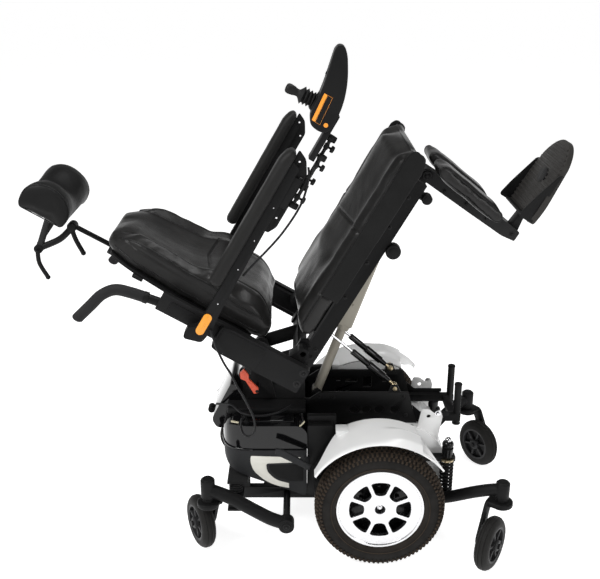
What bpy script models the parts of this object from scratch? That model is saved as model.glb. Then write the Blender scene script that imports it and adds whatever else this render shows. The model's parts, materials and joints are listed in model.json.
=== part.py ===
"""Power wheelchair: six-wheel base, tilting seat, reclining back, elevating leg rest and joystick.

Metres, +X forward, +Y to the user's left, +Z up.  The origin is on the floor under the middle of the chair's box.
The seat is drawn level in its own axes and hangs from the tilt pivot, which holds it tilted back.
"""
import math

import bmesh
import bpy
from mathutils import Matrix, Vector

# ---- Driving dimensions: base ----
MIDDLE = 0.0296                      # Y of the chair's middle plane: a swung caster reaches out on the right
DRIVE_AXLE = (0.221, 0.178)          # X and Z of the drive wheels' axle
TYRE_RADIUS = 0.178
TYRE_INNER = 0.252                   # |Y| of the tyre's two sides
TYRE_OUTER = 0.325
RIM_RADIUS = 0.1193
SPOKES = 8
CASTER_RADIUS = 0.076
CASTER_WIDTH = 0.042
CASTER_TRAIL = 0.061
FRONT_BARREL = (0.559, 0.27)         # X and |Y| of the front caster's swivel axis
REAR_BARREL = (-0.248, 0.27)
FRONT_ARM_PIVOT = (0.385, 0.126)     # X and Z
REAR_ARM_PIVOT = (-0.033, 0.125)
TRAIL_ANGLES = {"front_right": -125.0, "front_left": -54.0, "rear_right": 118.0, "rear_left": 20.0}
RAIL_Y = (0.127, 0.149)
RAIL_Z = (0.108, 0.143)
CHANNEL_WALL = (0.070, 0.078)        # |Y| of the tilt channel's side walls
CHANNEL_FLOOR = (0.315, 0.322)
CHANNEL_TOP = 0.412
FENDER_RADIUS = (0.2075, 0.2115)
FENDER_SWEEP = (40.0, 147.0)

# ---- Driving dimensions: tilt ----
TILT_PIVOT = Vector((-0.11, 0.0, 0.50))
REST_TILT = 60.0
SEAT_PIVOT = Vector((-0.0762, 0.0, 0.1581))      # the tilt pivot in the seat's own axes
ACTUATOR_FOOT = Vector((0.054, 0.0, 0.382))
ACTUATOR_HEAD = Vector((0.368, 0.0, 0.039))      # in the seat's own axes
STRUT_FOOT = Vector((0.275, 0.055, 0.426))
STRUT_HEAD = Vector((0.107, 0.055, 0.075))       # in the seat's own axes

# ---- Driving dimensions: seating, in the seat's own axes ----
BACK_HINGE = Vector((0.072, 0.0, 0.103))
KNEE = Vector((0.614, 0.0, 0.035))
FOOT_HINGE = Vector((0.592, 0.0, -0.255))
ARM_HINGE = Vector((0.020, 0.0, 0.378))
SEAT_HALF_WIDTH = 0.226
PAD_Y = 0.28                                     # |Y| of an armrest's middle
LINK_LENGTH = 0.135
LINK_OUTER = Vector((0.420, -0.272, 0.333))      # the joystick links' pivots on the armrest
LINK_INNER = Vector((0.468, -0.254, 0.333))
STICK_CENTRE = Vector((0.665, -0.300, 0.403))
BUTTON_PLACE = Vector((0.735, -0.300, 0.4225))
HEAD_LOWER = Vector((0.001, 0.0, 0.795))
HEAD_UPPER = Vector((-0.104, 0.0, 0.8485))

# ---- Colours: base colour, roughness, metallic ----
FINISHES = {
    "black_steel": ((0.014, 0.014, 0.015), 0.45, 0.3),
    "black_plastic": ((0.018, 0.018, 0.019), 0.5, 0.0),
    "gloss_black": ((0.008, 0.008, 0.009), 0.12, 0.0),
    "grey_plastic": ((0.05, 0.05, 0.053), 0.55, 0.0),
    "white_plastic": ((0.82, 0.82, 0.81), 0.3, 0.0),
    "vinyl": ((0.016, 0.016, 0.017), 0.4, 0.0),
    "foam": ((0.012, 0.012, 0.013), 0.7, 0.0),
    "tyre": ((0.022, 0.022, 0.022), 0.8, 0.0),
    "machined": ((0.72, 0.72, 0.73), 0.28, 1.0),
    "chrome": ((0.75, 0.75, 0.75), 0.12, 1.0),
    "beige_metal": ((0.30, 0.28, 0.24), 0.45, 0.4),
    "red": ((0.62, 0.07, 0.03), 0.4, 0.0),
    "battery": ((0.08, 0.08, 0.09), 0.5, 0.0),
}


# ---- Scene set-up ----
for old in list(bpy.data.objects):
    bpy.data.objects.remove(old, do_unlink=True)
PARTS = bpy.data.collections.new("power_wheelchair")
bpy.context.scene.collection.children.link(PARTS)


def material(finish):
    found = bpy.data.materials.get(finish)
    if found:
        return found
    colour, roughness, metallic = FINISHES[finish]
    new = bpy.data.materials.new(finish)
    new.use_nodes = True
    shader = new.node_tree.nodes["Principled BSDF"]
    shader.inputs["Base Color"].default_value = (*colour, 1.0)
    shader.inputs["Roughness"].default_value = roughness
    shader.inputs["Metallic"].default_value = metallic
    return new


# ---- Shape helpers: each returns an unnamed mesh object ----
def from_bmesh(shape):
    mesh = bpy.data.meshes.new("shape")
    bmesh.ops.recalc_face_normals(shape, faces=shape.faces)
    shape.to_mesh(mesh)
    shape.free()
    solid = bpy.data.objects.new("shape", mesh)
    PARTS.objects.link(solid)
    return solid


def block(low, high, round_edges=0.0, segments=1):
    """Box between two corners, given in any order."""
    low, high = Vector(low), Vector(high)
    size = high - low
    shape = bmesh.new()
    placed = Matrix.Translation((low + high) / 2) @ Matrix.Diagonal((*map(abs, size), 1.0))
    bmesh.ops.create_cube(shape, size=1.0, matrix=placed)
    if round_edges:
        bmesh.ops.bevel(shape, geom=shape.edges[:], offset=round_edges, segments=segments,
                        affect="EDGES", profile=0.5)
    return from_bmesh(shape)


def rod(start, end, radius, sides=12, end_radius=None):
    """Cylinder or cone between two points."""
    start, end = Vector(start), Vector(end)
    along = end - start
    shape = bmesh.new()
    turn = along.to_track_quat("Z", "Y").to_matrix().to_4x4()
    bmesh.ops.create_cone(shape, cap_ends=True, segments=sides, radius1=radius,
                          radius2=radius if end_radius is None else end_radius,
                          depth=along.length, matrix=Matrix.Translation((start + end) / 2) @ turn)
    return from_bmesh(shape)


def ball(centre, radius, sides=12, rings=8):
    shape = bmesh.new()
    bmesh.ops.create_uvsphere(shape, u_segments=sides, v_segments=rings, radius=radius,
                              matrix=Matrix.Translation(centre))
    return from_bmesh(shape)


def realise(source, merge=0.000001):
    """Mesh object in place of a curve or of an object with modifiers."""
    bpy.context.view_layer.update()
    graph = bpy.context.evaluated_depsgraph_get()
    mesh = bpy.data.meshes.new_from_object(source.evaluated_get(graph))
    mesh.transform(source.matrix_world)
    bpy.data.objects.remove(source, do_unlink=True)
    shape = bmesh.new()
    shape.from_mesh(mesh)
    bmesh.ops.remove_doubles(shape, verts=shape.verts, dist=merge)
    return from_bmesh(shape)


def smooth_path(points, steps=4):
    """Points of a Catmull-Rom curve through the given ones."""
    ends = [Vector(p) for p in points]
    ends = [2 * ends[0] - ends[1], *ends, 2 * ends[-1] - ends[-2]]
    path = []
    for a, b, c, d in zip(ends, ends[1:], ends[2:], ends[3:]):
        for step in range(steps):
            t = step / steps
            path.append(0.5 * (2 * b + (c - a) * t + (2 * a - 5 * b + 4 * c - d) * t * t
                               + (3 * b - a - 3 * c + d) * t ** 3))
    path.append(ends[-2])
    return path


def pipe(points, radius, resolution=2):
    """Round tube with closed ends along the points."""
    curve = bpy.data.curves.new("pipe", "CURVE")
    curve.dimensions = "3D"
    curve.bevel_depth = radius
    curve.bevel_resolution = resolution
    curve.use_fill_caps = True
    spline = curve.splines.new("POLY")
    spline.points.add(len(points) - 1)
    for point, place in zip(spline.points, points):
        point.co = (*place, 1.0)
    source = bpy.data.objects.new("pipe", curve)
    PARTS.objects.link(source)
    return realise(source, 0.00002)


def slab(outline, low_y, high_y, holes=()):
    """Plate whose outline is drawn in X and Z, between two Y values."""
    curve = bpy.data.curves.new("slab", "CURVE")
    curve.dimensions = "2D"
    curve.fill_mode = "BOTH"
    curve.extrude = abs(high_y - low_y) / 2
    for loop in (outline, *holes):
        spline = curve.splines.new("POLY")
        spline.points.add(len(loop) - 1)
        spline.use_cyclic_u = True
        for point, (x, z) in zip(spline.points, loop):
            point.co = (x, z, 0.0, 1.0)
    source = bpy.data.objects.new("slab", curve)
    source.rotation_euler = (math.radians(90), 0, 0)
    source.location = (0, (low_y + high_y) / 2, 0)
    PARTS.objects.link(source)
    return realise(source, 0.00002)


def flat_slab(outline, low_z, high_z):
    """Plate whose outline is drawn in X and Y, between two Z values."""
    plate = slab(outline, -high_z, -low_z)
    plate.data.transform(Matrix.Rotation(math.radians(-90), 4, "X"))
    return plate


def turned(profile, x, y, z, sides=32):
    """Solid of revolution about a line along Y: profile holds (Y offset, radius), outer side first to last."""
    shape = bmesh.new()
    verts = [shape.verts.new((radius, 0.0, offset)) for offset, radius in profile]
    for a, b in zip(verts, verts[1:] + verts[:1]):
        shape.edges.new((a, b))
    mesh = bpy.data.meshes.new("profile")
    shape.to_mesh(mesh)
    shape.free()
    source = bpy.data.objects.new("turned", mesh)
    PARTS.objects.link(source)
    screw = source.modifiers.new("Screw", "SCREW")
    screw.steps = sides
    screw.render_steps = sides
    screw.use_merge_vertices = True
    screw.merge_threshold = 0.00001
    source.rotation_euler = (math.radians(-90), 0, 0)
    source.location = (x, y, z)
    return realise(source)


def combine(operation, target, tools):
    for tool in tools:
        step = target.modifiers.new("Boolean", "BOOLEAN")
        step.operation = operation
        step.solver = "EXACT"
        step.object = tool
    result = realise(target)
    for tool in tools:
        bpy.data.objects.remove(tool, do_unlink=True)
    return result


def union(target, *others):
    return combine("UNION", target, others)


def cut(target, *cutters):
    return combine("DIFFERENCE", target, cutters)


def ring_points(x, z, radius, count=16, start=0.0, stop=360.0):
    """Points on an arc; a full circle leaves out the closing point."""
    full = abs(stop - start) >= 360.0
    steps = count if full else count - 1
    angles = [math.radians(start + (stop - start) * i / steps) for i in range(count)]
    return [(x + radius * math.cos(a), z + radius * math.sin(a)) for a in angles]


def side_name(name, side):
    return f"{name}_{'left' if side > 0 else 'right'}"


def across(low, high, side):
    """A pair of |Y| values on one side of the middle, lower value first."""
    return (low, high) if side > 0 else (-high, -low)


# ---- Pivots and nodes ----
class Pivot:
    """An empty on a joint's axis; place is given in the same axes as the parts that hang from it."""

    def __init__(self, name, place, parent=None, turn=0.0, axis="Y"):
        self.place = Vector(place)
        self.empty = bpy.data.objects.new(name, None)
        self.empty.empty_display_size = 0.02
        PARTS.objects.link(self.empty)
        if parent:
            self.empty.parent = parent.empty
            self.empty.location = self.place - parent.place
        else:
            self.empty.location = self.place
        if turn:
            self.empty.rotation_euler["XYZ".index(axis)] = math.radians(turn)


def node(name, solid, finish, pivot=None):
    """Name a finished solid, colour it and hang it from its pivot."""
    solid.name = name
    solid.data.name = name
    solid.data.materials.clear()
    solid.data.materials.append(material(finish))
    solid.data.shade_smooth()
    solid.data.set_sharp_from_angle(angle=math.radians(35))
    if pivot:
        solid.parent = pivot.empty
        solid.location = -pivot.place
    return solid


# ---- Base ----
def chassis_frame():
    """Welded rails with the suspension's axles and spring seats."""
    pieces = []
    for side in (-1, 1):
        low, high = across(*RAIL_Y, side)
        pieces.append(block((-0.165, low, RAIL_Z[0]), (0.402, high, RAIL_Z[1])))
        for x in (0.052, 0.318):
            post_low, post_high = across(0.088, 0.148, side)
            pieces.append(block((x - 0.012, post_low, 0.13), (x + 0.012, post_high, 0.3146)))
        pieces.append(rod((REAR_ARM_PIVOT[0], side * 0.14, REAR_ARM_PIVOT[1]),
                          (REAR_ARM_PIVOT[0], side * 0.320, REAR_ARM_PIVOT[1]), 0.010))
        pieces.append(rod((FRONT_ARM_PIVOT[0], side * 0.14, FRONT_ARM_PIVOT[1]),
                          (FRONT_ARM_PIVOT[0], side * 0.200, FRONT_ARM_PIVOT[1]), 0.010))
        spring_low, spring_high = across(0.130, 0.1535, side)
        pieces.append(block((0.322, spring_low, 0.232), (0.447, spring_high, 0.246)))
        pieces.append(rod((0.425, side * 0.145, 0.240), (0.425, side * 0.145, 0.276), 0.0125))
        pieces.append(ball((0.425, side * 0.145, 0.276), 0.0120, 10, 6))
        rear_low, rear_high = across(0.128, 0.148, side)
        pieces.append(block((-0.163, rear_low, 0.135), (-0.140, rear_high, 0.207)))
        shelf_low, shelf_high = across(0.131, 0.222, side)
        pieces.append(block((-0.199, shelf_low, 0.200), (-0.141, shelf_high, 0.208)))
        motor_low, motor_high = across(0.140, 0.168, side)
        pieces.append(block((0.185, motor_low, 0.120), (0.257, motor_high, 0.1275)))
    for x in (-0.09, 0.052, 0.318, 0.39):
        pieces.append(block((x - 0.011, -0.13, 0.112), (x + 0.011, 0.13, 0.139)))
    pieces.append(block((0.045, -0.128, 0.1095), (0.325, 0.128, 0.1135)))
    return node("chassis_frame", union(*pieces), "black_steel")


def tilt_frame():
    """Open channel that carries the tilt pivot's tower, the actuator's foot and the front rack."""
    outline = [(0.032, CHANNEL_FLOOR[0]), (0.342, CHANNEL_FLOOR[0]), (0.3155, CHANNEL_TOP),
               (0.060, CHANNEL_TOP), (0.032, 0.392), (-0.150, 0.392), (-0.150, 0.376), (0.032, 0.376)]
    round_holes = [ring_points(x, z, 0.013, 10, 7.0, 367.0)
                   for x, z in ((0.160, 0.3570), (0.195, 0.3575), (0.232, 0.3565), (0.277, 0.3572))]
    slots = [[(x, z), (x + w, z), (x + w, z + h), (x, z + h)]
             for x, z, w, h in ((0.115, 0.375, 0.012, 0.012), (0.142, 0.372, 0.036, 0.012),
                                (0.196, 0.355, 0.026, 0.036), (0.115, 0.340, 0.012, 0.012),
                                (0.142, 0.340, 0.012, 0.012), (0.255, 0.372, 0.020, 0.016))]
    pieces = [block((0.034, -0.074, CHANNEL_FLOOR[0] + 0.0007), (0.339, 0.074, CHANNEL_FLOOR[1]))]
    pieces.append(slab(outline, -CHANNEL_WALL[1], -CHANNEL_WALL[0], round_holes))
    pieces.append(slab(outline, *CHANNEL_WALL, slots))
    for side in (-1, 1):
        inner, outer = across(0.0605, 0.0725, side)
        tower = [(-0.145, 0.378), (-0.062, 0.378), (-0.0885, 0.497),
                 *ring_points(TILT_PIVOT.x, TILT_PIVOT.z, 0.0215, 9, 0.0, 180.0), (-0.134, 0.480)]
        pieces.append(slab(tower, inner, outer))
        pieces.append(rod((TILT_PIVOT.x, side * 0.066, TILT_PIVOT.z),
                          (TILT_PIVOT.x, side * 0.0955, TILT_PIVOT.z), 0.009))
        ear_low, ear_high = across(0.0165, 0.0235, side)
        pieces.append(slab([(0.036, 0.318), (0.075, 0.318), (0.069, 0.386), (0.054, 0.398), (0.039, 0.386)],
                           ear_low, ear_high))
        bar_low, bar_high = across(0.052, 0.0715, side)
        pieces.append(block((0.300, bar_low, 0.3165), (0.470, bar_high, 0.338)))
        pieces.append(rod((0.460, side * 0.061, 0.308), (0.460, side * 0.061, 0.433), 0.0105))
        stud_low, stud_high = across(0.0655, 0.0775, side)
        pieces.append(slab([(0.255, 0.400), (0.298, 0.400), (0.284, 0.432), (0.266, 0.432)], stud_low, stud_high))
    pieces.append(block((-0.1435, -0.066, 0.3795), (-0.1280, 0.066, 0.3890)))
    pieces.append(block((0.437, -0.055, 0.3185), (0.456, 0.055, 0.336)))
    pieces.append(rod((-0.1165, -0.066, 0.437), (-0.1165, -0.1195, 0.437), 0.005, 12))
    return node("tilt_frame", union(*pieces), "black_steel")


LOWER_BODY_SEAM = 0.2985


def lower_body():
    """Open-topped plastic tub around the batteries."""
    outer = slab([(-0.211, 0.250), (-0.200, 0.236), (0.018, 0.151), (0.024, 0.156),
                  (0.024, LOWER_BODY_SEAM), (-0.211, LOWER_BODY_SEAM)], -0.200, 0.200)
    inner = slab([(-0.208, 0.2515), (-0.198, 0.239), (0.0165, 0.1555), (0.021, 0.159),
                  (0.021, 0.330), (-0.208, 0.330)], -0.1965, 0.1965)
    return node("lower_body", cut(outer, inner), "grey_plastic")


def rear_lid():
    """Gloss top shroud with the sloped electronics housing behind the tower."""
    roof = slab([(-0.213, 0.299), (0.025, 0.299), (0.025, 0.352), (0.005, 0.372), (-0.190, 0.372),
                 (-0.213, 0.350)], -0.202, 0.202)
    hump = slab([(-0.236, 0.305), (-0.155, 0.305), (-0.160, 0.369), (-0.178, 0.440), (-0.193, 0.443),
                 (-0.252, 0.330)], -0.085, 0.085)
    knob = rod((-0.258, -0.012, 0.322), (-0.258, 0.012, 0.322), 0.011)
    hollow = slab([(-0.2095, 0.290), (0.0215, 0.290), (0.0215, 0.3505), (0.0035, 0.3685),
                   (-0.1885, 0.3685), (-0.2095, 0.3485)], -0.1985, 0.1985)
    return node("rear_lid", cut(union(roof, hump, knob), hollow), "gloss_black")


def battery_pack():
    """Two sealed batteries side by side, joined by their strap."""
    pieces = [block((-0.128, y, 0.2185), (0.006, y + 0.166, 0.335), 0.004) for y in (-0.172, 0.006)]
    strap = block((-0.075, -0.150, 0.330), (-0.045, 0.150, 0.339))
    return node("battery_pack", union(*pieces, strap), "battery")


def front_cover():
    outer = slab([(0.262, 0.3135), (0.350, 0.3135), (0.375, 0.300), (0.412, 0.262), (0.430, 0.200),
                  (0.430, 0.150), (0.262, 0.150)], -0.118, 0.118)
    inner = slab([(0.240, 0.3100), (0.349, 0.3100), (0.3725, 0.2975), (0.409, 0.2605), (0.4265, 0.200),
                  (0.4265, 0.130), (0.240, 0.130)], -0.1145, 0.1145)
    shell = cut(outer, inner)
    posts = [block((0.28, y, 0.12), (0.3325, y + 0.060, 0.330)) for y in (-0.146, 0.086)]
    bars = [block((0.295, y, 0.3085), (0.480, y + 0.0235, 0.345)) for y in (-0.0735, 0.050)]
    return node("front_cover", cut(shell, *posts, *bars), "white_plastic")


def fender(side):
    """Curved guard over a drive wheel with its inner wall."""
    x, z = DRIVE_AXLE
    start, stop = FENDER_SWEEP
    band = (ring_points(x, z, FENDER_RADIUS[1], 17, start, stop)
            + ring_points(x, z, FENDER_RADIUS[0], 17, stop, start))
    wall = (ring_points(x, z, FENDER_RADIUS[1] - 0.0015, 12, start + 6, stop - 2)
            + ring_points(x, z, 0.165, 8, stop - 2, start + 6))
    low, high = across(0.188, 0.327, side)
    wall_low, wall_high = across(0.1885, 0.192, side)
    lip_low, lip_high = across(0.3235, 0.3265, side)
    lip = (ring_points(x, z, FENDER_RADIUS[1] - 0.0015, 13, start + 1, stop - 1)
           + ring_points(x, z, 0.190, 13, stop - 1, start + 1))
    guard = union(slab(band, low, high), slab(wall, wall_low, wall_high), slab(lip, lip_low, lip_high))
    return node(side_name("fender", side), guard, "white_plastic")


def drive_motor(side):
    """Right-angle gearbox with its motor lying along the rail."""
    x, z = DRIVE_AXLE
    low, high = across(0.1695, 0.232, side)
    box = block((x - 0.048, low, z - 0.05), (x + 0.048, high, z + 0.045), 0.006)
    motor = rod((x - 0.02, side * 0.187, z - 0.006), (x - 0.176, side * 0.187, z - 0.006), 0.034, 24)
    shaft = rod((x, side * 0.20, z), (x, side * 0.294, z), 0.0085)
    return node(side_name("motor", side), union(box, motor, shaft), "black_steel")


def tyre(side, pivot):
    width = TYRE_OUTER - TYRE_INNER
    profile = [(0.010, 0.1206), (0.0, 0.140), (0.008, 0.170), (0.024, TYRE_RADIUS), (width - 0.024, TYRE_RADIUS),
               (width - 0.008, 0.170), (width, 0.140), (width - 0.010, 0.1206)]
    start = TYRE_INNER if side > 0 else -TYRE_OUTER
    ring = turned(profile, DRIVE_AXLE[0], start, DRIVE_AXLE[1], 32)
    return node(side_name("tyre", side), ring, "tyre", pivot)


def rim(side, pivot):
    """Cast wheel: a barrel, a face with eight windows and a hub with a bore."""
    x, z = DRIVE_AXLE
    barrel_low, barrel_high = across(0.2620, 0.3145, side)
    barrel = slab(ring_points(x, z, RIM_RADIUS, 28), barrel_low, barrel_high, [ring_points(x, z, 0.110, 28)])
    face_low, face_high = across(0.2985, 0.3105, side)
    windows = []
    for spoke in range(SPOKES):
        middle = 360.0 * (spoke + 0.5) / SPOKES
        windows.append(ring_points(x, z, 0.098, 4, middle - 15.5, middle + 15.5)
                       + ring_points(x, z, 0.042, 2, middle + 9, middle - 9))
    face = slab(ring_points(x, z, 0.1140, 28, 5.0, 365.0), face_low, face_high, windows)
    hub_low, hub_high = across(0.2615, 0.3115, side)
    hub = slab(ring_points(x, z, 0.027, 12), hub_low, hub_high)
    bore_low, bore_high = across(0.2550, 0.2975, side)
    bore = slab(ring_points(x, z, 0.0096, 10), bore_low, bore_high)
    return node(side_name("rim", side), cut(union(barrel, face, hub), bore), "machined", pivot)


def front_arm(side, pivot):
    """Forward suspension arm: pivot boss, curved tube, spring seat and caster barrel."""
    px, pz = FRONT_ARM_PIVOT
    bx, by = FRONT_BARREL
    boss = rod((px, side * 0.158, pz), (px, side * 0.197, pz), 0.019, 16)
    path = [(px, side * 0.178, pz), (0.43, side * 0.195, 0.142), (0.49, side * 0.235, 0.184),
            (0.535, side * 0.259, 0.207), (bx, side * by, 0.213)]
    tube = pipe(smooth_path(path, 2), 0.0165)
    barrel = rod((bx, side * by, 0.190), (bx, side * by, 0.236), 0.0175, 14)
    low, high = across(0.128, 0.190, side)
    seat = block((0.403, low, 0.1195), (0.445, high, 0.1280))
    arm = union(boss, tube, barrel, seat)
    arm = cut(arm, rod((px, side * 0.15, pz), (px, side * 0.21, pz), 0.0108, 14),
              rod((bx, side * by, 0.180), (bx, side * by, 0.2285), 0.0104, 12))
    return node(side_name("front_arm", side), arm, "black_steel", pivot)


def rear_arm(side, pivot):
    px, pz = REAR_ARM_PIVOT
    bx, by = REAR_BARREL
    boss = rod((px, side * 0.283, pz), (px, side * 0.3165, pz), 0.0205, 16)
    path = [(px, side * 0.300, pz), (-0.115, side * 0.291, 0.158), (-0.190, side * 0.279, 0.196),
            (bx, side * by, 0.215)]
    tube = pipe(smooth_path(path, 2), 0.0180)
    barrel = rod((bx, side * by, 0.192), (bx, side * by, 0.242), 0.0175, 14)
    low, high = across(0.178, 0.290, side)
    seat = block((-0.194, low, 0.1580), (-0.154, high, 0.1645))
    brace_low, brace_high = across(0.262, 0.284, side)
    brace = block((-0.192, brace_low, 0.1600), (-0.156, brace_high, 0.1800))
    arm = union(boss, tube, barrel, seat, brace)
    arm = cut(arm, rod((px, side * 0.275, pz), (px, side * 0.325, pz), 0.0108, 14),
              rod((bx, side * by, 0.180), (bx, side * by, 0.2345), 0.0104, 12))
    return node(side_name("rear_arm", side), arm, "black_steel", pivot)


def spring(name, x, y, low, high):
    return node(name, rod((x, y, low), (x, y, high), 0.0205, 20), "black_steel")


def caster(name, barrel, side, arm_pivot, stem_top):
    """Swivel fork and wheel, drawn trailing along +X of the swivel's own axes."""
    x, y = barrel[0], side * barrel[1]
    swivel = Pivot(f"{name}_swivel", (x, y, 0.0), arm_pivot, TRAIL_ANGLES[name], "Z")
    swivel.place = Vector((0, 0, 0))
    stem = rod((0, 0, 0.165), (0, 0, stem_top), 0.0096, 10)
    crown = rod((0, 0, 0.1650), (0, 0, 0.1800), 0.030, 20)
    bridge_low, bridge_high = across(0.0, 0.0365, side)
    bridge = block((-0.0160, bridge_low, 0.1640), (0.0290, bridge_high, 0.1790))
    collar = rod((0, 0, 0.178), (0, 0, 0.1885), 0.016, 12)
    leg = [(-0.014, 0.166), (-0.014, 0.178), (0.028, 0.178), (0.076, 0.084),
           *ring_points(CASTER_TRAIL, CASTER_RADIUS, 0.015, 5, 30.0, -150.0), (0.036, 0.084)]
    low, high = across(0.0275, 0.0360, side)
    axle_pin = rod((CASTER_TRAIL, side * -0.0265, CASTER_RADIUS), (CASTER_TRAIL, side * 0.0375, CASTER_RADIUS),
                   0.0058, 10)
    pieces = [crown, bridge, stem, collar, slab(leg, low, high), axle_pin]
    node(f"{name}_fork", union(*pieces), "black_plastic", swivel)
    axle = Pivot(f"{name}_axle", (CASTER_TRAIL, 0.0, CASTER_RADIUS), swivel)
    half = CASTER_WIDTH / 2
    profile = [(-half - 0.002, 0.0066), (-half - 0.002, 0.020), (-half + 0.003, 0.048), (-half + 0.003, 0.068),
               (-0.007, CASTER_RADIUS), (0.007, CASTER_RADIUS), (half - 0.003, 0.068), (half - 0.003, 0.048),
               (half + 0.002, 0.020), (half + 0.002, 0.0066)]
    wheel = turned(profile, CASTER_TRAIL, 0.0, CASTER_RADIUS, 20)
    node(f"{name}_wheel", wheel, "tyre", axle)


def freewheel_lever(side):
    """Brake release lever on the outside of the body."""
    hinge = Pivot(side_name("freewheel_hinge", side), (0.024, side * 0.245, 0.272))
    arm = slab([(0.012, 0.270), (0.030, 0.262), (0.035, 0.276), (-0.043, 0.324), (-0.062, 0.328), (-0.064, 0.312)],
               *across(0.241, 0.249, side))
    boss = rod((0.024, side * 0.205, 0.272), (0.024, side * 0.251, 0.272), 0.008, 14)
    node(side_name("freewheel_lever", side), union(arm, boss), "grey_plastic", hinge)


def release_lever():
    """Red lever with a square head beside the tilt tower."""
    hinge = Pivot("release_hinge", (-0.1165, -0.114, 0.437))
    arm = slab([(-0.1235, 0.426), (-0.109, 0.430), (-0.108, 0.447), (-0.139, 0.480), (-0.137, 0.490),
                (-0.151, 0.506), (-0.165, 0.492), (-0.152, 0.474)], -0.1185, -0.1100)
    hole = rod((-0.1165, -0.125, 0.437), (-0.1165, -0.10, 0.437), 0.0058, 14)
    node("release_lever", cut(arm, hole), "red", hinge)


# ---- Seating, in the seat's own axes ----
def seat_frame(pivot):
    """Rails, pan, pivot arms and the brackets for actuator, struts, back and leg."""
    pieces = [block((0.105, -0.205, 0.0985), (0.600, 0.205, 0.1035))]
    pieces.append(block((0.0, -0.155, 0.064), (0.028, 0.155, 0.094)))
    pieces.append(block((0.518, -0.155, 0.068), (0.542, 0.155, 0.1000)))
    for side in (-1, 1):
        low, high = across(0.150, 0.178, side)
        pieces.append(block((-0.002, low, 0.053), (0.605, high, 0.1000)))
        ear_low, ear_high = across(0.166, 0.178, side)
        pieces.append(slab([(0.045, 0.090), (0.100, 0.090), (0.088, 0.118), (0.058, 0.118)], ear_low, ear_high))
        pieces.append(rod((BACK_HINGE.x, side * 0.170, BACK_HINGE.z), (BACK_HINGE.x, side * 0.205, BACK_HINGE.z), 0.0072))
        arm_low, arm_high = across(0.0780, 0.0900, side)
        arm = [(0.024, 0.067), (0.026, 0.092), *ring_points(SEAT_PIVOT.x, SEAT_PIVOT.z, 0.020, 9, 50.0, 230.0),
               (-0.004, 0.066)]
        hole = ring_points(SEAT_PIVOT.x, SEAT_PIVOT.z, 0.0098, 20)
        pieces.append(slab(arm, arm_low, arm_high, [hole]))
        fork_low, fork_high = across(0.0225, 0.0290, side)
        fork = [(0.345, 0.101), (0.395, 0.101), *ring_points(ACTUATOR_HEAD.x, ACTUATOR_HEAD.z, 0.014, 7, 0.0, -180.0)]
        pieces.append(slab(fork, fork_low, fork_high))
        tab_low, tab_high = across(0.0385, 0.0445, side)
        pieces.append(slab([(0.108, 0.101), (0.136, 0.101), (0.118, 0.068), (0.100, 0.068), (0.098, 0.082)],
                           tab_low, tab_high))
        knee_low, knee_high = across(0.0355, 0.0435, side)
        knee = [(0.545, 0.101), (0.596, 0.101), (0.598, 0.060),
                *ring_points(KNEE.x, KNEE.z, 0.0155, 8, 60.0, -140.0), (0.575, 0.035)]
        pieces.append(slab(knee, knee_low, knee_high, [ring_points(KNEE.x, KNEE.z, 0.0078, 16)]))
    for x, z, radius in ((0.42, 0.036, 0.019), (0.58, 0.036, 0.013)):
        pieces.append(rod((x, -0.186, z), (x, -0.160, z), radius))
        pieces.append(block((x - 0.010, -0.176, z), (x + 0.010, -0.160, 0.060)))
    return node("seat_frame", union(*pieces), "black_steel", pivot)


def seat_cushion(pivot):
    body = block((0.106, -SEAT_HALF_WIDTH, 0.1045), (0.680, SEAT_HALF_WIDTH, 0.172), 0.018, 3)
    return node("seat_cushion", body, "vinyl", pivot)


def world_of_seat(place):
    """World place, at rest, of a point given in the seat's own axes."""
    turn = Matrix.Rotation(math.radians(-REST_TILT), 4, "Y")
    return TILT_PIVOT + turn @ (Vector(place) - SEAT_PIVOT)


def tilt_actuator():
    """Linear actuator: lower tube on the base, housing towards the seat's fork."""
    foot = ACTUATOR_FOOT
    head = world_of_seat(ACTUATOR_HEAD)
    hinge = Pivot("actuator_hinge", foot)
    along = (head - foot).normalized()
    tube = union(rod(foot + along * 0.010, foot + along * 0.2365, 0.0135, 20),
                 rod(foot - Vector((0, 0.0155, 0)), foot + Vector((0, 0.0155, 0)), 0.0150, 20))
    node("actuator_rod", tube, "chrome", hinge)
    slide = Pivot("actuator_slide", head)
    slope = along.to_track_quat("Z", "Y").to_matrix().to_4x4()
    case = block((-0.0205, -0.022, -0.250), (0.0205, 0.022, -0.018), 0.005)
    case.data.transform(Matrix.Translation(head) @ slope)
    eye = rod(head - Vector((0, 0.0205, 0)), head + Vector((0, 0.0205, 0)), 0.0135, 20)
    neck = rod(head - along * 0.022, head, 0.0125)
    bore = rod(head - along * 0.260, head - along * 0.026, 0.0143, 20)
    node("actuator_housing", cut(union(case, eye, neck), bore), "beige_metal", slide)


def gas_strut(side):
    foot = Vector((STRUT_FOOT.x, side * STRUT_FOOT.y, STRUT_FOOT.z))
    head = world_of_seat((STRUT_HEAD.x, side * STRUT_HEAD.y, STRUT_HEAD.z))
    along = (head - foot).normalized()
    hinge = Pivot(side_name("strut_hinge", side), foot)
    barrel = cut(union(rod(foot + along * 0.004, foot + along * 0.162, 0.0088),
                       ball(foot, 0.0085, 12, 8)),
                 rod(foot + along * 0.043, foot + along * 0.170, 0.0052, 12))
    node(side_name("strut_cylinder", side), barrel, "black_steel", hinge)
    slide = Pivot(side_name("strut_slide", side), head)
    length = (head - foot).length
    ram = union(rod(foot + along * (length - 0.1505), head, 0.0042, 12), ball(head, 0.0068, 12, 8))
    node(side_name("strut_rod", side), ram, "chrome", slide)


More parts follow.
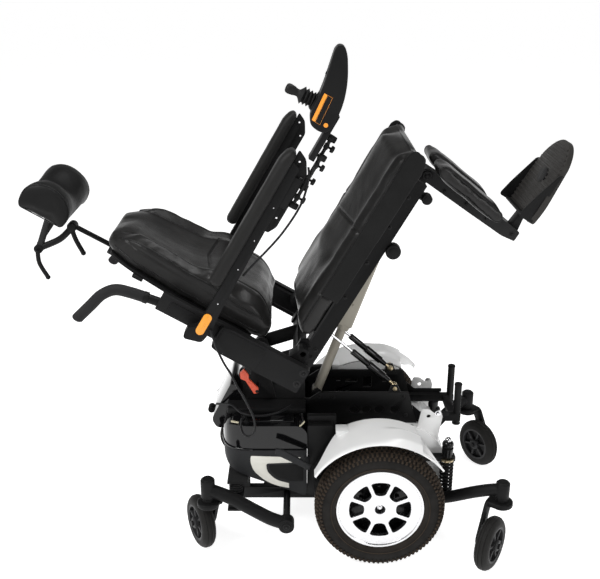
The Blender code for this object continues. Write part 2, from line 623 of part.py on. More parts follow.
def back_frame(pivot):
    """Side posts, shell, lower covers, push handles and the headrest's clamp."""
    pieces = [block((0.0335, -0.230, 0.250), (0.0405, 0.230, 0.690))]
    for side in (-1, 1):
        low, high = across(0.2255, 0.2470, side)
        pieces.append(block((0.0, low, 0.080), (0.050, high, 0.500), 0.002))
        lug_low, lug_high = across(0.1860, 0.2300, side)
        lug = [(0.030, 0.120), (0.030, 0.092), (0.060, 0.086), *ring_points(BACK_HINGE.x, BACK_HINGE.z, 0.016, 8, -90, 90),
               (0.048, 0.132)]
        pieces.append(slab(lug, lug_low, lug_high, [ring_points(BACK_HINGE.x, BACK_HINGE.z, 0.0080, 16)]))
        cover_low, cover_high = across(0.2455, 0.2700, side)
        pieces.append(slab([(-0.018, 0.072), (0.056, 0.072), (0.056, 0.300), (0.050, 0.330), (-0.012, 0.330),
                            (-0.018, 0.300)], cover_low, cover_high))
        handle = [(x, side * 0.2305, z) for x, z in ((0.020, 0.470), (0.012, 0.520), (0.003, 0.570), (-0.010, 0.610),
                                                     (-0.040, 0.634), (-0.080, 0.646), (-0.128, 0.660))]
        pieces.append(pipe(smooth_path(handle, 1), 0.0150))
        pieces.append(rod((ARM_HINGE.x, side * 0.240, ARM_HINGE.z), (ARM_HINGE.x, side * 0.3015, ARM_HINGE.z), 0.0080))
    pieces.append(block((-0.013, -0.028, 0.600), (0.036, 0.028, 0.680), 0.003))
    frame = cut(union(*pieces), rod((0.005, 0, 0.590), (0.005, 0, 0.700), 0.0082, 18))
    return node("back_frame", frame, "black_steel", pivot)


def back_cushion(pivot):
    """Contoured back pad with forward wings, drawn as one plan outline swept up the back."""
    half = 0.212
    plan = [(0.0415, -half + 0.012), (0.050, -half), (0.118, -half), (0.126, -half + 0.020), (0.100, -0.150),
            (0.094, 0.0), (0.100, 0.150), (0.126, half - 0.020), (0.118, half), (0.050, half), (0.0415, half - 0.012)]
    pad = flat_slab(plan, 0.212, 0.700)
    lumbar = rod((0.088, -0.150, 0.262), (0.088, 0.150, 0.262), 0.042, 20)
    keep = block((0.0415, -0.20, 0.2125), (0.150, 0.20, 0.330))
    return node("back_cushion", union(pad, combine("INTERSECT", lumbar, [keep])), "vinyl", pivot)


def armrest(side, pivot):
    """Flip-up armrest: side plate with its beam, and the pad on top."""
    low, high = across(PAD_Y - 0.0165, PAD_Y + 0.0120, side)
    outline = [(-0.014, 0.402), (-0.004, 0.357), (0.040, 0.350), (0.100, 0.3555), (0.508, 0.3655), (0.516, 0.3865),
               (0.030, 0.3865), (0.014, 0.4080), (-0.006, 0.4080)]
    hinge_hole = ring_points(ARM_HINGE.x, ARM_HINGE.z, 0.0087, 18)
    beam = slab(outline, low, high, [hinge_hole])
    if side < 0:
        plate = block((0.404, -0.290, 0.3460), (0.486, -0.243, 0.3690))
        pins = [rod((p.x, p.y, 0.350), (p.x, p.y, 0.3225), 0.0040, 12) for p in (LINK_OUTER, LINK_INNER)]
        beam = union(beam, plate, *pins)
    node(side_name("armrest_frame", side), beam, "black_plastic", pivot)
    pad_low, pad_high = across(PAD_Y - 0.032, PAD_Y + 0.026, side)
    pad = block((0.149, pad_low, 0.3870), (0.540, pad_high, 0.4220), 0.009, 2)
    node(side_name("armrest_pad", side), pad, "foam", pivot)


def joystick_link(name, start, pivot):
    """Flat link with an eye at each end."""
    end = start + Vector((LINK_LENGTH, 0, 0))
    bar = rod(start, end, 0.0050, 12)
    eyes = [rod((p.x, p.y, 0.3265), (p.x, p.y, 0.3410), 0.0080, 16) for p in (start, end)]
    holes = [rod((p.x, p.y, 0.3200), (p.x, p.y, 0.3500), 0.0046, 12) for p in (start, end)]
    node(name, cut(union(bar, *eyes), *holes), "black_steel", pivot)


def joystick(armrest_pivot):
    outer = Pivot("link_outer_hinge", LINK_OUTER, armrest_pivot)
    inner = Pivot("link_inner_hinge", LINK_INNER, armrest_pivot)
    joystick_link("joystick_link_outer", LINK_OUTER, outer)
    joystick_link("joystick_link_inner", LINK_INNER, inner)
    reach = Vector((LINK_LENGTH, 0, 0))
    carrier = Pivot("joystick_carrier", LINK_OUTER + reach, outer)
    outline = [(0.612, 0.378), (0.618, 0.360), (0.632, 0.3525), (0.690, 0.3560), (0.745, 0.3760), (0.790, 0.4040),
               (0.804, 0.4200), (0.801, 0.4330), (0.788, 0.4365), (0.700, 0.4170), (0.636, 0.4125), (0.618, 0.4010)]
    shell = slab(outline, -0.332, -0.268)
    plate = block((0.538, -0.286, 0.3445), (0.660, -0.243, 0.3590))
    pins = [rod((p.x, p.y, 0.350), (p.x, p.y, 0.3225), 0.0040, 12) for p in (LINK_OUTER + reach, LINK_INNER + reach)]
    centre = STICK_CENTRE
    well = rod(centre + Vector((0, 0, -0.0155)), centre + Vector((0, 0, 0.030)), 0.0212, 24)
    button_hole = rod(BUTTON_PLACE + Vector((0, 0, -0.007)), BUTTON_PLACE + Vector((0, 0, 0.02)), 0.0068, 16)
    pod = cut(union(shell, plate, *pins), well, button_hole)
    node("joystick_pod", pod, "black_plastic", carrier)
    gimbal = Pivot("gimbal_hinge", centre, carrier)
    ring = slab(ring_points(0, 0, 0.0198, 24), -0.002, 0.002, [ring_points(0, 0, 0.0172, 24)])
    ring.data.transform(Matrix.Translation(centre) @ Matrix.Rotation(math.radians(90), 4, "X"))
    node("joystick_gimbal", ring, "chrome", gimbal)
    stick = Pivot("stick_hinge", centre, gimbal)
    stalk = [ball(centre, 0.0135, 14, 8), rod(centre, centre + Vector((-0.002, 0, 0.040)), 0.0115, 12, 0.0068),
             rod(centre + Vector((-0.0015, 0, 0.036)), centre + Vector((-0.0055, 0, 0.070)), 0.0050, 12),
             ball(centre + Vector((-0.0055, 0, 0.071)), 0.0092, 12, 8)]
    node("joystick_stick", union(*stalk), "black_plastic", stick)
    button = Pivot("button_slide", BUTTON_PLACE, carrier)
    cap = rod(BUTTON_PLACE + Vector((0, 0, -0.0050)), BUTTON_PLACE + Vector((0, 0, 0.0040)), 0.0062, 16)
    node("power_button", cap, "grey_plastic", button)


def headrest(back_pivot):
    """Mast in the back's clamp, a link with clamp levers, and the winged pad."""
    mast = Pivot("headrest_slide", (0.005, 0.0, 0.690), back_pivot)
    post = [rod((0.005, 0, 0.602), (0.003, 0, 0.792), 0.0070, 14),
            rod((HEAD_LOWER.x, -0.0125, HEAD_LOWER.z), (HEAD_LOWER.x, 0.0125, HEAD_LOWER.z), 0.0135, 18),
            pipe([(HEAD_LOWER.x, -0.0160, HEAD_LOWER.z), (-0.024, -0.0160, 0.770), (-0.048, -0.0160, 0.735)], 0.0060),
            rod((HEAD_LOWER.x, -0.0230, HEAD_LOWER.z), (HEAD_LOWER.x, -0.0100, HEAD_LOWER.z), 0.0110, 14)]
    node("headrest_mast", union(*post), "black_steel", mast)
    lower = Pivot("headrest_lower_hinge", HEAD_LOWER, mast)
    bar = [rod((HEAD_LOWER.x, 0.0130, HEAD_LOWER.z), (HEAD_LOWER.x, 0.0230, HEAD_LOWER.z), 0.0125, 18),
           rod((HEAD_LOWER.x, 0.0180, HEAD_LOWER.z), (HEAD_UPPER.x, 0.0180, HEAD_UPPER.z), 0.0048, 12),
           rod((HEAD_UPPER.x, 0.0130, HEAD_UPPER.z), (HEAD_UPPER.x, 0.0230, HEAD_UPPER.z), 0.0125, 18),
           rod((HEAD_UPPER.x, -0.0150, HEAD_UPPER.z), (HEAD_UPPER.x, 0.0150, HEAD_UPPER.z), 0.0045, 12),
           rod((HEAD_UPPER.x, -0.0230, HEAD_UPPER.z), (HEAD_UPPER.x, -0.0130, HEAD_UPPER.z), 0.0110),
           pipe([(HEAD_UPPER.x, -0.0180, HEAD_UPPER.z), (-0.136, -0.0180, 0.828), (-0.161, -0.0180, 0.790)], 0.0055)]
    node("headrest_link", union(*bar), "black_steel", lower)
    upper = Pivot("headrest_upper_hinge", HEAD_UPPER, lower)
    eye = cut(union(rod((HEAD_UPPER.x, -0.0120, HEAD_UPPER.z), (HEAD_UPPER.x, 0.0120, HEAD_UPPER.z), 0.0125, 18),
                    rod((HEAD_UPPER.x + 0.008, 0, HEAD_UPPER.z + 0.001), (0.030, 0, 0.869), 0.0075, 14)),
              rod((HEAD_UPPER.x, -0.02, HEAD_UPPER.z), (HEAD_UPPER.x, 0.02, HEAD_UPPER.z), 0.0053, 14))
    plan = [(0.022, -0.045), (0.036, -0.095), (0.072, -0.122), (0.112, -0.128), (0.120, -0.112), (0.092, -0.088),
            (0.072, -0.045), (0.067, 0.0), (0.072, 0.045), (0.092, 0.088), (0.120, 0.112), (0.112, 0.128),
            (0.072, 0.122), (0.036, 0.095), (0.022, 0.045)]
    pad = flat_slab(plan, 0.803, 0.938)
    node("headrest_pad", union(eye, pad), "vinyl", upper)


def leg_rest(seat_pivot):
    """Central leg beam with calf pads, and the angle-adjustable foot platform."""
    knee = Pivot("knee_hinge", KNEE, seat_pivot)
    outline = [*ring_points(KNEE.x, KNEE.z, 0.0170, 9, 0.0, 180.0), (0.583, -0.120), (0.574, -0.232),
               (0.578, -0.272), (0.606, -0.272), (0.612, -0.232), (0.6235, -0.120)]
    beam = slab(outline, -0.0345, 0.0345)
    pin = rod((KNEE.x, -0.0475, KNEE.z), (KNEE.x, 0.0475, KNEE.z), 0.0070)
    slot = block((0.560, -0.0185, -0.300), (0.640, 0.0185, -0.2360))
    foot_pin = rod((FOOT_HINGE.x, -0.0300, FOOT_HINGE.z), (FOOT_HINGE.x, 0.0300, FOOT_HINGE.z), 0.0060, 14)
    node("leg_beam", union(cut(union(beam, pin), slot), foot_pin), "black_steel", knee)
    pads = []
    pad_outline = [(0.6405, 0.030), (0.648, 0.041), (0.662, 0.042), (0.671, 0.034), (0.640, -0.165), (0.630, -0.173),
                   (0.617, -0.172), (0.610, -0.160)]
    for side in (-1, 1):
        low, high = across(0.0365, 0.1480, side)
        pads.append(slab(pad_outline, low, high))
    pads.append(block((0.6300, -0.045, -0.070), (0.6400, 0.045, -0.035)))
    node("calf_pads", union(*pads), "vinyl", knee)
    ankle = Pivot("foot_hinge", FOOT_HINGE, knee)
    toe = ring_points(0.762, 0.0, 0.1130, 9, -62.0, 62.0)
    sole = [(0.648, -0.118), (0.700, -0.127), *toe, (0.700, 0.127), (0.648, 0.118)]
    plate = flat_slab(sole, -0.2600, -0.2440)
    tongue = slab([(0.664, -0.2470), (0.664, -0.2590), (0.600, -0.2700), (0.581, -0.2660), (0.580, -0.2480),
                   (0.597, -0.2420)], -0.0180, 0.0180)
    walls = [slab([(0.655, -0.250), (0.798, -0.250), (0.790, -0.2420), (0.700, -0.2180), (0.655, -0.2120)],
                  *across(0.1130, 0.1180, side)) for side in (-1, 1)]
    hole = rod((FOOT_HINGE.x, -0.03, FOOT_HINGE.z), (FOOT_HINGE.x, 0.03, FOOT_HINGE.z), 0.0066, 14)
    node("footplate", cut(union(plate, tongue, *walls), hole), "black_plastic", ankle)


def joystick_cable(pivot):
    """Slack control cable from the back's cover down to the body's lid."""
    route = [(-0.222, -0.2970, 0.700), (-0.214, -0.2970, 0.672), (-0.204, -0.2970, 0.640), (-0.190, -0.2960, 0.606),
             (-0.174, -0.2930, 0.575), (-0.160, -0.2890, 0.540), (-0.144, -0.2830, 0.505), (-0.130, -0.2770, 0.470),
             (-0.119, -0.2710, 0.437), (-0.116, -0.2650, 0.405), (-0.122, -0.2580, 0.381), (-0.136, -0.2500, 0.368),
             (-0.150, -0.2400, 0.372), (-0.156, -0.2300, 0.388), (-0.155, -0.2180, 0.400), (-0.150, -0.2050, 0.402),
             (-0.146, -0.1900, 0.394), (-0.144, -0.1800, 0.3805), (-0.144, -0.1790, 0.3735)]
    node("joystick_cable", pipe(smooth_path(route, 2), 0.0032), "black_plastic", pivot)


def build():
    chassis_frame()
    tilt_frame()
    lower_body()
    rear_lid()
    battery_pack()
    front_cover()
    release_lever()
    for side in (-1, 1):
        fender(side)
        drive_motor(side)
        freewheel_lever(side)
        wheel = Pivot(side_name("drive_axle", side), (DRIVE_AXLE[0], 0.0, DRIVE_AXLE[1]))
        tyre(side, wheel)
        rim(side, wheel)
        front = Pivot(side_name("front_arm_hinge", side), (FRONT_ARM_PIVOT[0], 0.0, FRONT_ARM_PIVOT[1]))
        front_arm(side, front)
        caster(side_name("front", side), FRONT_BARREL, side, front, 0.2265)
        rear = Pivot(side_name("rear_arm_hinge", side), (REAR_ARM_PIVOT[0], 0.0, REAR_ARM_PIVOT[1]))
        rear_arm(side, rear)
        caster(side_name("rear", side), REAR_BARREL, side, rear, 0.2325)
        spring(side_name("front_spring", side), 0.425, side * 0.145, 0.1285, 0.2315)
        spring(side_name("rear_spring", side), -0.176, side * 0.2005, 0.1650, 0.1995)
        gas_strut(side)
    tilt_actuator()
    seat = Pivot("tilt_pivot", TILT_PIVOT, None, -REST_TILT)
    seat.place = SEAT_PIVOT
    seat_frame(seat)
    seat_cushion(seat)
    leg_rest(seat)
    back = Pivot("back_hinge", BACK_HINGE, seat)
    back_frame(back)
    back_cushion(back)
    for side in (-1, 1):
        arm = Pivot(side_name("armrest_hinge", side), ARM_HINGE, back)
        armrest(side, arm)
        if side < 0:
            joystick(arm)
    headrest(back)
    joystick_cable(None)
    for top in PARTS.objects:
        if not top.parent:
            top.location.y += MIDDLE


build()
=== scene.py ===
"""Looks of the power wheelchair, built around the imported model.

Shapes are drawn in chair axes (middle plane at Y = 0, floor at Z = 0) or in the seat's own level axes,
and are carried to their place by the BASE and SEAT matrices.
"""
import json
import math

import bmesh
import bpy
from mathutils import Matrix, Vector, noise
from mathutils.bvhtree import BVHTree

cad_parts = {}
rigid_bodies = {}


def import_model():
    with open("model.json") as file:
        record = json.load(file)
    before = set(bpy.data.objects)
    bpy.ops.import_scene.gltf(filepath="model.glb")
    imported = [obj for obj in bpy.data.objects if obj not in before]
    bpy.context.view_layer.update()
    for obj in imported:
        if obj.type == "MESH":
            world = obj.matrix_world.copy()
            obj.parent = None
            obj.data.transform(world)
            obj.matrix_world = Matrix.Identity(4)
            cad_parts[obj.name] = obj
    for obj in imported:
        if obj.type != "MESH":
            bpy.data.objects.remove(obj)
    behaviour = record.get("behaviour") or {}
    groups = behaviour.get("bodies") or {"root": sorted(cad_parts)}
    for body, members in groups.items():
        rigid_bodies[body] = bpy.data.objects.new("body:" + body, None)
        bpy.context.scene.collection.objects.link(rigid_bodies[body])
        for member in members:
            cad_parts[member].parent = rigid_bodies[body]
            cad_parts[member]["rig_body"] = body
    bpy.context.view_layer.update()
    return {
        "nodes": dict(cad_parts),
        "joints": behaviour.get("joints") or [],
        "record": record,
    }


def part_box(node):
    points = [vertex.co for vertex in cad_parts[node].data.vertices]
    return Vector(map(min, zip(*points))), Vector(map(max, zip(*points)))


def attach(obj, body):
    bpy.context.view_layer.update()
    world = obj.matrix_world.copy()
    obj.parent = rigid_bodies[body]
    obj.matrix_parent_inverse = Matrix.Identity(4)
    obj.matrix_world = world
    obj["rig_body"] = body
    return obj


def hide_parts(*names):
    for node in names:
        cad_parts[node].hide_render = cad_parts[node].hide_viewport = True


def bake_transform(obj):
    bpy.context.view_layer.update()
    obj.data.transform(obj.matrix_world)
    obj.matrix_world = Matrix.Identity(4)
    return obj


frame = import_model()
JOINTS = {joint["name"]: joint for joint in frame["joints"]}

# ---- Axes of the chair and of the seat ----
MIDDLE = sum(corner.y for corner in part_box("chassis_frame")) / 2
REST_TILT = math.radians(60)
SEAT_PIVOT = Vector((-0.0762, 0.0, 0.1581))
BASE = Matrix.Translation((0, MIDDLE, 0))
SEAT = (Matrix.Translation(Vector(JOINTS["tilt"]["pos_m"])) @ Matrix.Rotation(-REST_TILT, 4, "Y")
        @ Matrix.Translation(-SEAT_PIVOT))

# ---- Camera ----
camera = bpy.data.objects.new("camera", bpy.data.cameras.new("camera"))
bpy.context.scene.collection.objects.link(camera)
camera.location = (0.0, MIDDLE - 2.35, 1.572)
camera.rotation_euler = (math.radians(69.6), 0, 0)
camera.data.sensor_width = 36.0
camera.data.lens = 53.1
camera.data.shift_x = 0.0025
bpy.context.scene.camera = camera

# ---- Driving dimensions, metres ----
DRIVE_AXLE = Vector((0.221, 0.0, 0.178))
TYRE_SIDES = (0.252, 0.325)
CASTER_RADIUS = 0.076
CASTER_TRAIL = 0.061
FRONT_BARREL = (0.559, 0.27)
REAR_BARREL = (-0.248, 0.27)
TRAIL_ANGLES = {"front_right": -125.0, "front_left": -54.0, "rear_right": 118.0, "rear_left": 20.0}
SEAM_Z = 0.2985


# ---- Materials ----
def shader_nodes(name):
    made = bpy.data.materials.new(name)
    made.use_nodes = True
    tree = made.node_tree
    return made, tree, tree.nodes["Principled BSDF"]


def add(tree, kind, **values):
    made = tree.nodes.new(kind)
    for key, value in values.items():
        if hasattr(made, key):
            setattr(made, key, value)
        else:
            made.inputs[key.replace("_", " ")].default_value = value
    return made


def noise_of(tree, place, scale, detail=4.0, distortion=0.0, stretch=None):
    """Factor output of a noise texture in object space."""
    source = place
    if stretch:
        mapping = add(tree, "ShaderNodeMapping")
        mapping.inputs["Scale"].default_value = stretch
        tree.links.new(place, mapping.inputs["Vector"])
        source = mapping.outputs["Vector"]
    made = add(tree, "ShaderNodeTexNoise", Scale=scale, Detail=detail, Distortion=distortion)
    tree.links.new(source, made.inputs["Vector"])
    return made.outputs["Fac"]


def ranged(tree, value, low, high):
    made = add(tree, "ShaderNodeMapRange")
    made.inputs["From Min"].default_value = 0.3
    made.inputs["From Max"].default_value = 0.7
    made.inputs["To Min"].default_value = low
    made.inputs["To Max"].default_value = high
    tree.links.new(value, made.inputs["Value"])
    return made.outputs["Result"]


def material(name, colour, roughness, metallic=0.0, grain=(), vary=0.12, vary_scale=9.0, uneven=0.06,
             coat=0.0, coat_roughness=0.08, sheen=0.0, wear=0.0, wear_colour=(0.35, 0.34, 0.33),
             wrinkles=None,
             leather=None, rings=None, specular=0.5):
    """Principled material with its colour and roughness broken up, fine relief and worn edges.

    grain is a list of (noise scale, depth in metres); wrinkles is (scale, depth); leather is (cell
    scale, depth); rings is (centre, rings per metre, depth) for a turned face.
    """
    made, tree, shader = shader_nodes(name)
    place = add(tree, "ShaderNodeTexCoord").outputs["Object"]
    shader.inputs["Metallic"].default_value = metallic
    dull = 0.42 if max(colour) < 0.04 else 1.0
    shader.inputs["Specular IOR Level"].default_value = specular * dull
    shader.inputs["Coat Weight"].default_value = coat
    shader.inputs["Coat Roughness"].default_value = coat_roughness
    shader.inputs["Sheen Weight"].default_value = sheen
    clouds = noise_of(tree, place, vary_scale, 5.0)
    level = ranged(tree, clouds, 1 - vary, 1 + vary)
    paint = add(tree, "ShaderNodeVectorMath", operation="SCALE")
    paint.inputs[0].default_value = colour
    tree.links.new(level, paint.inputs["Scale"])
    shown = paint.outputs["Vector"]
    if wear:
        edge = add(tree, "ShaderNodeNewGeometry").outputs["Pointiness"]
        mask = add(tree, "ShaderNodeMapRange")
        mask.inputs["From Min"].default_value = 0.53
        mask.inputs["From Max"].default_value = 0.60
        mask.inputs["To Max"].default_value = wear
        tree.links.new(edge, mask.inputs["Value"])
        mixed = add(tree, "ShaderNodeMix", data_type="RGBA")
        mixed.inputs["B"].default_value = (0, 0, 0, 1)
        tree.links.new(mask.outputs["Result"], mixed.inputs["Factor"])
        tree.links.new(shown, mixed.inputs[6])
        mixed.inputs[7].default_value = (*wear_colour, 1)
        shown = mixed.outputs[2]
    tree.links.new(shown, shader.inputs["Base Color"])
    patch = noise_of(tree, place, vary_scale * 3.1, 3.0)
    tree.links.new(ranged(tree, patch, max(roughness - uneven, 0.02), roughness + uneven),
                   shader.inputs["Roughness"])
    relief = [(noise_of(tree, place, scale, 2.0), depth) for scale, depth in grain]
    if wrinkles:
        relief.append((noise_of(tree, place, wrinkles[0], 3.0, 1.2,
                                wrinkles[2] if len(wrinkles) > 2 else None),
                       wrinkles[1]))
    if leather:
        cells = add(tree, "ShaderNodeTexVoronoi", feature="SMOOTH_F1", Scale=leather[0])
        tree.links.new(place, cells.inputs["Vector"])
        relief.append((cells.outputs["Distance"], leather[1]))
    if rings:
        centre, pitch, depth = rings
        mapping = add(tree, "ShaderNodeMapping")
        mapping.inputs["Location"].default_value = [-c for c in centre]
        tree.links.new(place, mapping.inputs["Vector"])
        wave = add(tree, "ShaderNodeTexWave", wave_type="RINGS", rings_direction="Y", Scale=pitch,
                   Distortion=0.6)
        wave.inputs["Detail Scale"].default_value = 4.0
        tree.links.new(mapping.outputs["Vector"], wave.inputs["Vector"])
        relief.append((wave.outputs["Fac"], depth))
    normal = None
    for height, depth in relief:
        bump = add(tree, "ShaderNodeBump", Strength=1.0, Distance=depth)
        tree.links.new(height, bump.inputs["Height"])
        if normal:
            tree.links.new(normal, bump.inputs["Normal"])
        normal = bump.outputs["Normal"]
    if normal:
        tree.links.new(normal, shader.inputs["Normal"])
    return made


WHEEL_CENTRE = (DRIVE_AXLE.x, MIDDLE, DRIVE_AXLE.z)
STEEL = material("powder_coat", (0.0065, 0.0065, 0.0067), 0.46, 0.0, [(1400, 0.00012), (220, 0.00006)],
                 wear=0.3,
                 wear_colour=(0.05, 0.05, 0.05), specular=0.22)
PLASTIC = material("moulded_plastic", (0.0070, 0.0070, 0.0072), 0.48, 0.0, [(1800, 0.00016)], vary=0.18,
                   specular=0.25)
TEXTURED = material("pebbled_plastic", (0.0075, 0.0075, 0.0077), 0.50, 0.0, [(900, 0.00025)], vary=0.15,
                    specular=0.25)
GLOSS = material("gloss_black", (0.0035, 0.0035, 0.0038), 0.08, 0.0, [(60, 0.00010)], vary=0.1, uneven=0.02,
                 coat=0.35, coat_roughness=0.03, specular=0.35)
GREY = material("grey_shell", (0.0200, 0.0205, 0.0215), 0.50, 0.0, [(1500, 0.00012)], vary=0.10,
                specular=0.25)
WHITE = material("gloss_white", (0.74, 0.74, 0.735), 0.24, 0.0, [(45, 0.00008)], vary=0.02, uneven=0.03,
                 coat=0.3,
                 coat_roughness=0.06)
CREAM = material("cream_panel", (0.66, 0.65, 0.59), 0.36, 0.0, [(300, 0.00004)], vary=0.03)
VINYL = material("seat_vinyl", (0.0105, 0.0102, 0.0100), 0.36, 0.0, [(1100, 0.00005)], vary=0.16,
                 uneven=0.05,
                 leather=(700, 0.00022), wrinkles=(7, 0.0030), coat=0.10, coat_roughness=0.3, specular=0.42)
SIDE_VINYL = material("side_vinyl", (0.0062, 0.0062, 0.0062), 0.50, 0.0, [(1100, 0.00005)], vary=0.2,
                      leather=(700, 0.00022), wrinkles=(9, 0.004, (1.0, 1.0, 0.45)), specular=0.28)
PIPING = material("piping", (0.0075, 0.0075, 0.0075), 0.36, 0.0, [(700, 0.0001)], vary=0.1, specular=0.45)
PAD_FOAM = material("skin_foam", (0.0105, 0.0102, 0.0100), 0.50, 0.0, [(1300, 0.00014)], vary=0.12,
                    leather=(900, 0.0002), specular=0.35)
GRIP_FOAM = material("grip_foam", (0.0130, 0.0130, 0.0135), 0.66, 0.0, [(1200, 0.00035)], vary=0.2,
                     sheen=0.04,
                     specular=0.3)
RUBBER = material("tyre_rubber", (0.0110, 0.0100, 0.0092), 0.76, 0.0, [(700, 0.0002)], vary=0.30,
                  vary_scale=30,
                  wear=0.5, wear_colour=(0.060, 0.042, 0.028), specular=0.3)
CASTER_RUBBER = material("caster_rubber", (0.0130, 0.0126, 0.0120), 0.62, 0.0, [(900, 0.00015)], vary=0.2,
                         specular=0.3)
MACHINED = material("machined_face", (0.66, 0.66, 0.67), 0.26, 1.0, [], vary=0.04, uneven=0.05,
                    rings=(WHEEL_CENTRE, 260, 0.00004))
POCKET = material("pocket_paint", (0.0060, 0.0060, 0.0062), 0.25, 0.0, [(120, 0.00005)], coat=0.2,
                  specular=0.3)
CHROME = material("chrome", (0.60, 0.60, 0.61), 0.16, 1.0, [(900, 0.00002)], vary=0.05, uneven=0.04)
BRASS = material("brass_zinc", (0.50, 0.41, 0.26), 0.30, 1.0, [(300, 0.00003)], vary=0.12)
BEIGE = material("actuator_case", (0.27, 0.25, 0.205), 0.44, 0.1, [(500, 0.00006)], vary=0.06)
RED = material("release_red", (0.60, 0.070, 0.025), 0.42, 0.0, [(600, 0.00008)], vary=0.08)
AMBER = material("amber_reflector", (0.72, 0.27, 0.004), 0.24, 0.0, [(900, 0.0003)], vary=0.08,
                 vary_scale=300, coat=0.3)
ORANGE = material("orange_strip", (0.78, 0.27, 0.015), 0.44, 0.0, [(400, 0.00003)], vary=0.05)
TAG = material("cable_tie", (0.50, 0.46, 0.33), 0.45, 0.0, [(500, 0.00005)], vary=0.06)
HUB_GREY = material("hub_grey", (0.030, 0.030, 0.031), 0.48, 0.0, [(900, 0.0001)], vary=0.12, specular=0.35)
SOLE = material("sole_plastic", (0.026, 0.0245, 0.023), 0.52, 0.0, [(1300, 0.00018)], vary=0.14,
                specular=0.3)
BATTERY = material("battery_case", (0.030, 0.030, 0.034), 0.5, 0.0, [(900, 0.0001)])
CABLE = material("cable_jacket", (0.0085, 0.0085, 0.0090), 0.42, 0.0, [(900, 0.0001)], specular=0.35)
BOOT = material("boot_rubber", (0.0085, 0.0085, 0.0085), 0.56, 0.0, [(900, 0.0001)], specular=0.35)


# ---- Shape helpers: each returns an unplaced mesh object ----
def from_bmesh(shape):
    mesh = bpy.data.meshes.new("piece")
    bmesh.ops.recalc_face_normals(shape, faces=shape.faces)
    shape.to_mesh(mesh)
    shape.free()
    made = bpy.data.objects.new("piece", mesh)
    bpy.context.scene.collection.objects.link(made)
    return made


def realise(source):
    """The mesh of an object with its modifiers, or of a curve."""
    bpy.context.view_layer.update()
    graph = bpy.context.evaluated_depsgraph_get()
    mesh = bpy.data.meshes.new_from_object(source.evaluated_get(graph))
    mesh.transform(source.matrix_world)
    bpy.data.objects.remove(source, do_unlink=True)
    shape = bmesh.new()
    shape.from_mesh(mesh)
    bmesh.ops.remove_doubles(shape, verts=shape.verts, dist=0.00002)
    return from_bmesh(shape)


def bevelled(made, width, segments=2, angle=32):
    step = made.modifiers.new("Bevel", "BEVEL")
    step.width = width
    step.segments = segments
    step.limit_method = "ANGLE"
    step.angle_limit = math.radians(angle)
    step.use_clamp_overlap = True
    step.miter_outer = "MITER_ARC"
    return realise(made)


def block(low, high, bevel=0.0, segments=2):
    low, high = Vector(low), Vector(high)
    shape = bmesh.new()
    size = Matrix.Diagonal((*map(abs, high - low), 1.0))
    bmesh.ops.create_cube(shape, size=1.0, matrix=Matrix.Translation((low + high) / 2) @ size)
    made = from_bmesh(shape)
    return bevelled(made, bevel, segments) if bevel else made


def rod(start, end, radius, end_radius=None, sides=32, bevel=0.0):
    start, end = Vector(start), Vector(end)
    along = end - start
    shape = bmesh.new()
    turn = along.to_track_quat("Z", "Y").to_matrix().to_4x4()
    bmesh.ops.create_cone(shape, cap_ends=True, segments=sides, radius1=radius,
                          radius2=radius if end_radius is None else end_radius, depth=along.length,
                          matrix=Matrix.Translation((start + end) / 2) @ turn)
    made = from_bmesh(shape)
    return bevelled(made, bevel, 3, 50) if bevel else made


def ball(centre, radius, stretch=(1, 1, 1)):
    shape = bmesh.new()
    bmesh.ops.create_uvsphere(shape, u_segments=32, v_segments=18, radius=radius,
                              matrix=Matrix.Translation(centre) @ Matrix.Diagonal((*stretch, 1)))
    return from_bmesh(shape)


def rounded(outline, radius, steps=5):
    """The outline with its corners rounded; radius may be one value or one per corner."""
    corners = [Vector(p) for p in outline]
    count = len(corners)
    radii = radius if hasattr(radius, "__len__") else [radius] * count
    made = []
    for i, corner in enumerate(corners):
        before, after = corners[i - 1] - corner, corners[(i + 1) % count] - corner
        reach = min(radii[i], before.length * 0.48, after.length * 0.48)
        if reach < 0.0002:
            made.append(tuple(corner))
            continue
        a, b = corner + before.normalized() * reach, corner + after.normalized() * reach
        for step in range(steps + 1):
            t = step / steps
            made.append(tuple((1 - t) ** 2 * a + 2 * t * (1 - t) * corner + t * t * b))
    return made


def slab(outline, low_y, high_y, holes=(), bevel=0.0, segments=2):
    """Plate with an outline in X and Z between two Y values."""
    curve = bpy.data.curves.new("slab", "CURVE")
    curve.dimensions = "2D"
    curve.fill_mode = "BOTH"
    curve.extrude = abs(high_y - low_y) / 2
    for loop in (outline, *holes):
        spline = curve.splines.new("POLY")
        spline.points.add(len(loop) - 1)
        spline.use_cyclic_u = True
        for point, (x, z) in zip(spline.points, loop):
            point.co = (x, z, 0.0, 1.0)
    source = bpy.data.objects.new("slab", curve)
    source.rotation_euler = (math.radians(90), 0, 0)
    source.location = (0, (low_y + high_y) / 2, 0)
    bpy.context.scene.collection.objects.link(source)
    made = realise(source)
    return bevelled(made, bevel, segments) if bevel else made


def flat(outline, low_z, high_z, holes=(), bevel=0.0, segments=2):
    """Plate with an outline in X and Y between two Z values."""
    plate = slab(outline, -high_z, -low_z, holes)
    plate.data.transform(Matrix.Rotation(math.radians(-90), 4, "X"))
    return bevelled(plate, bevel, segments) if bevel else plate


def upright(outline, low_x, high_x, bevel=0.0, segments=2):
    """Plate with an outline in Y and Z, alike on both sides of the middle plane, between two X values."""
    plate = slab(outline, low_x, high_x)
    plate.data.transform(Matrix.Rotation(math.radians(-90), 4, "Z"))
    return bevelled(plate, bevel, segments) if bevel else plate


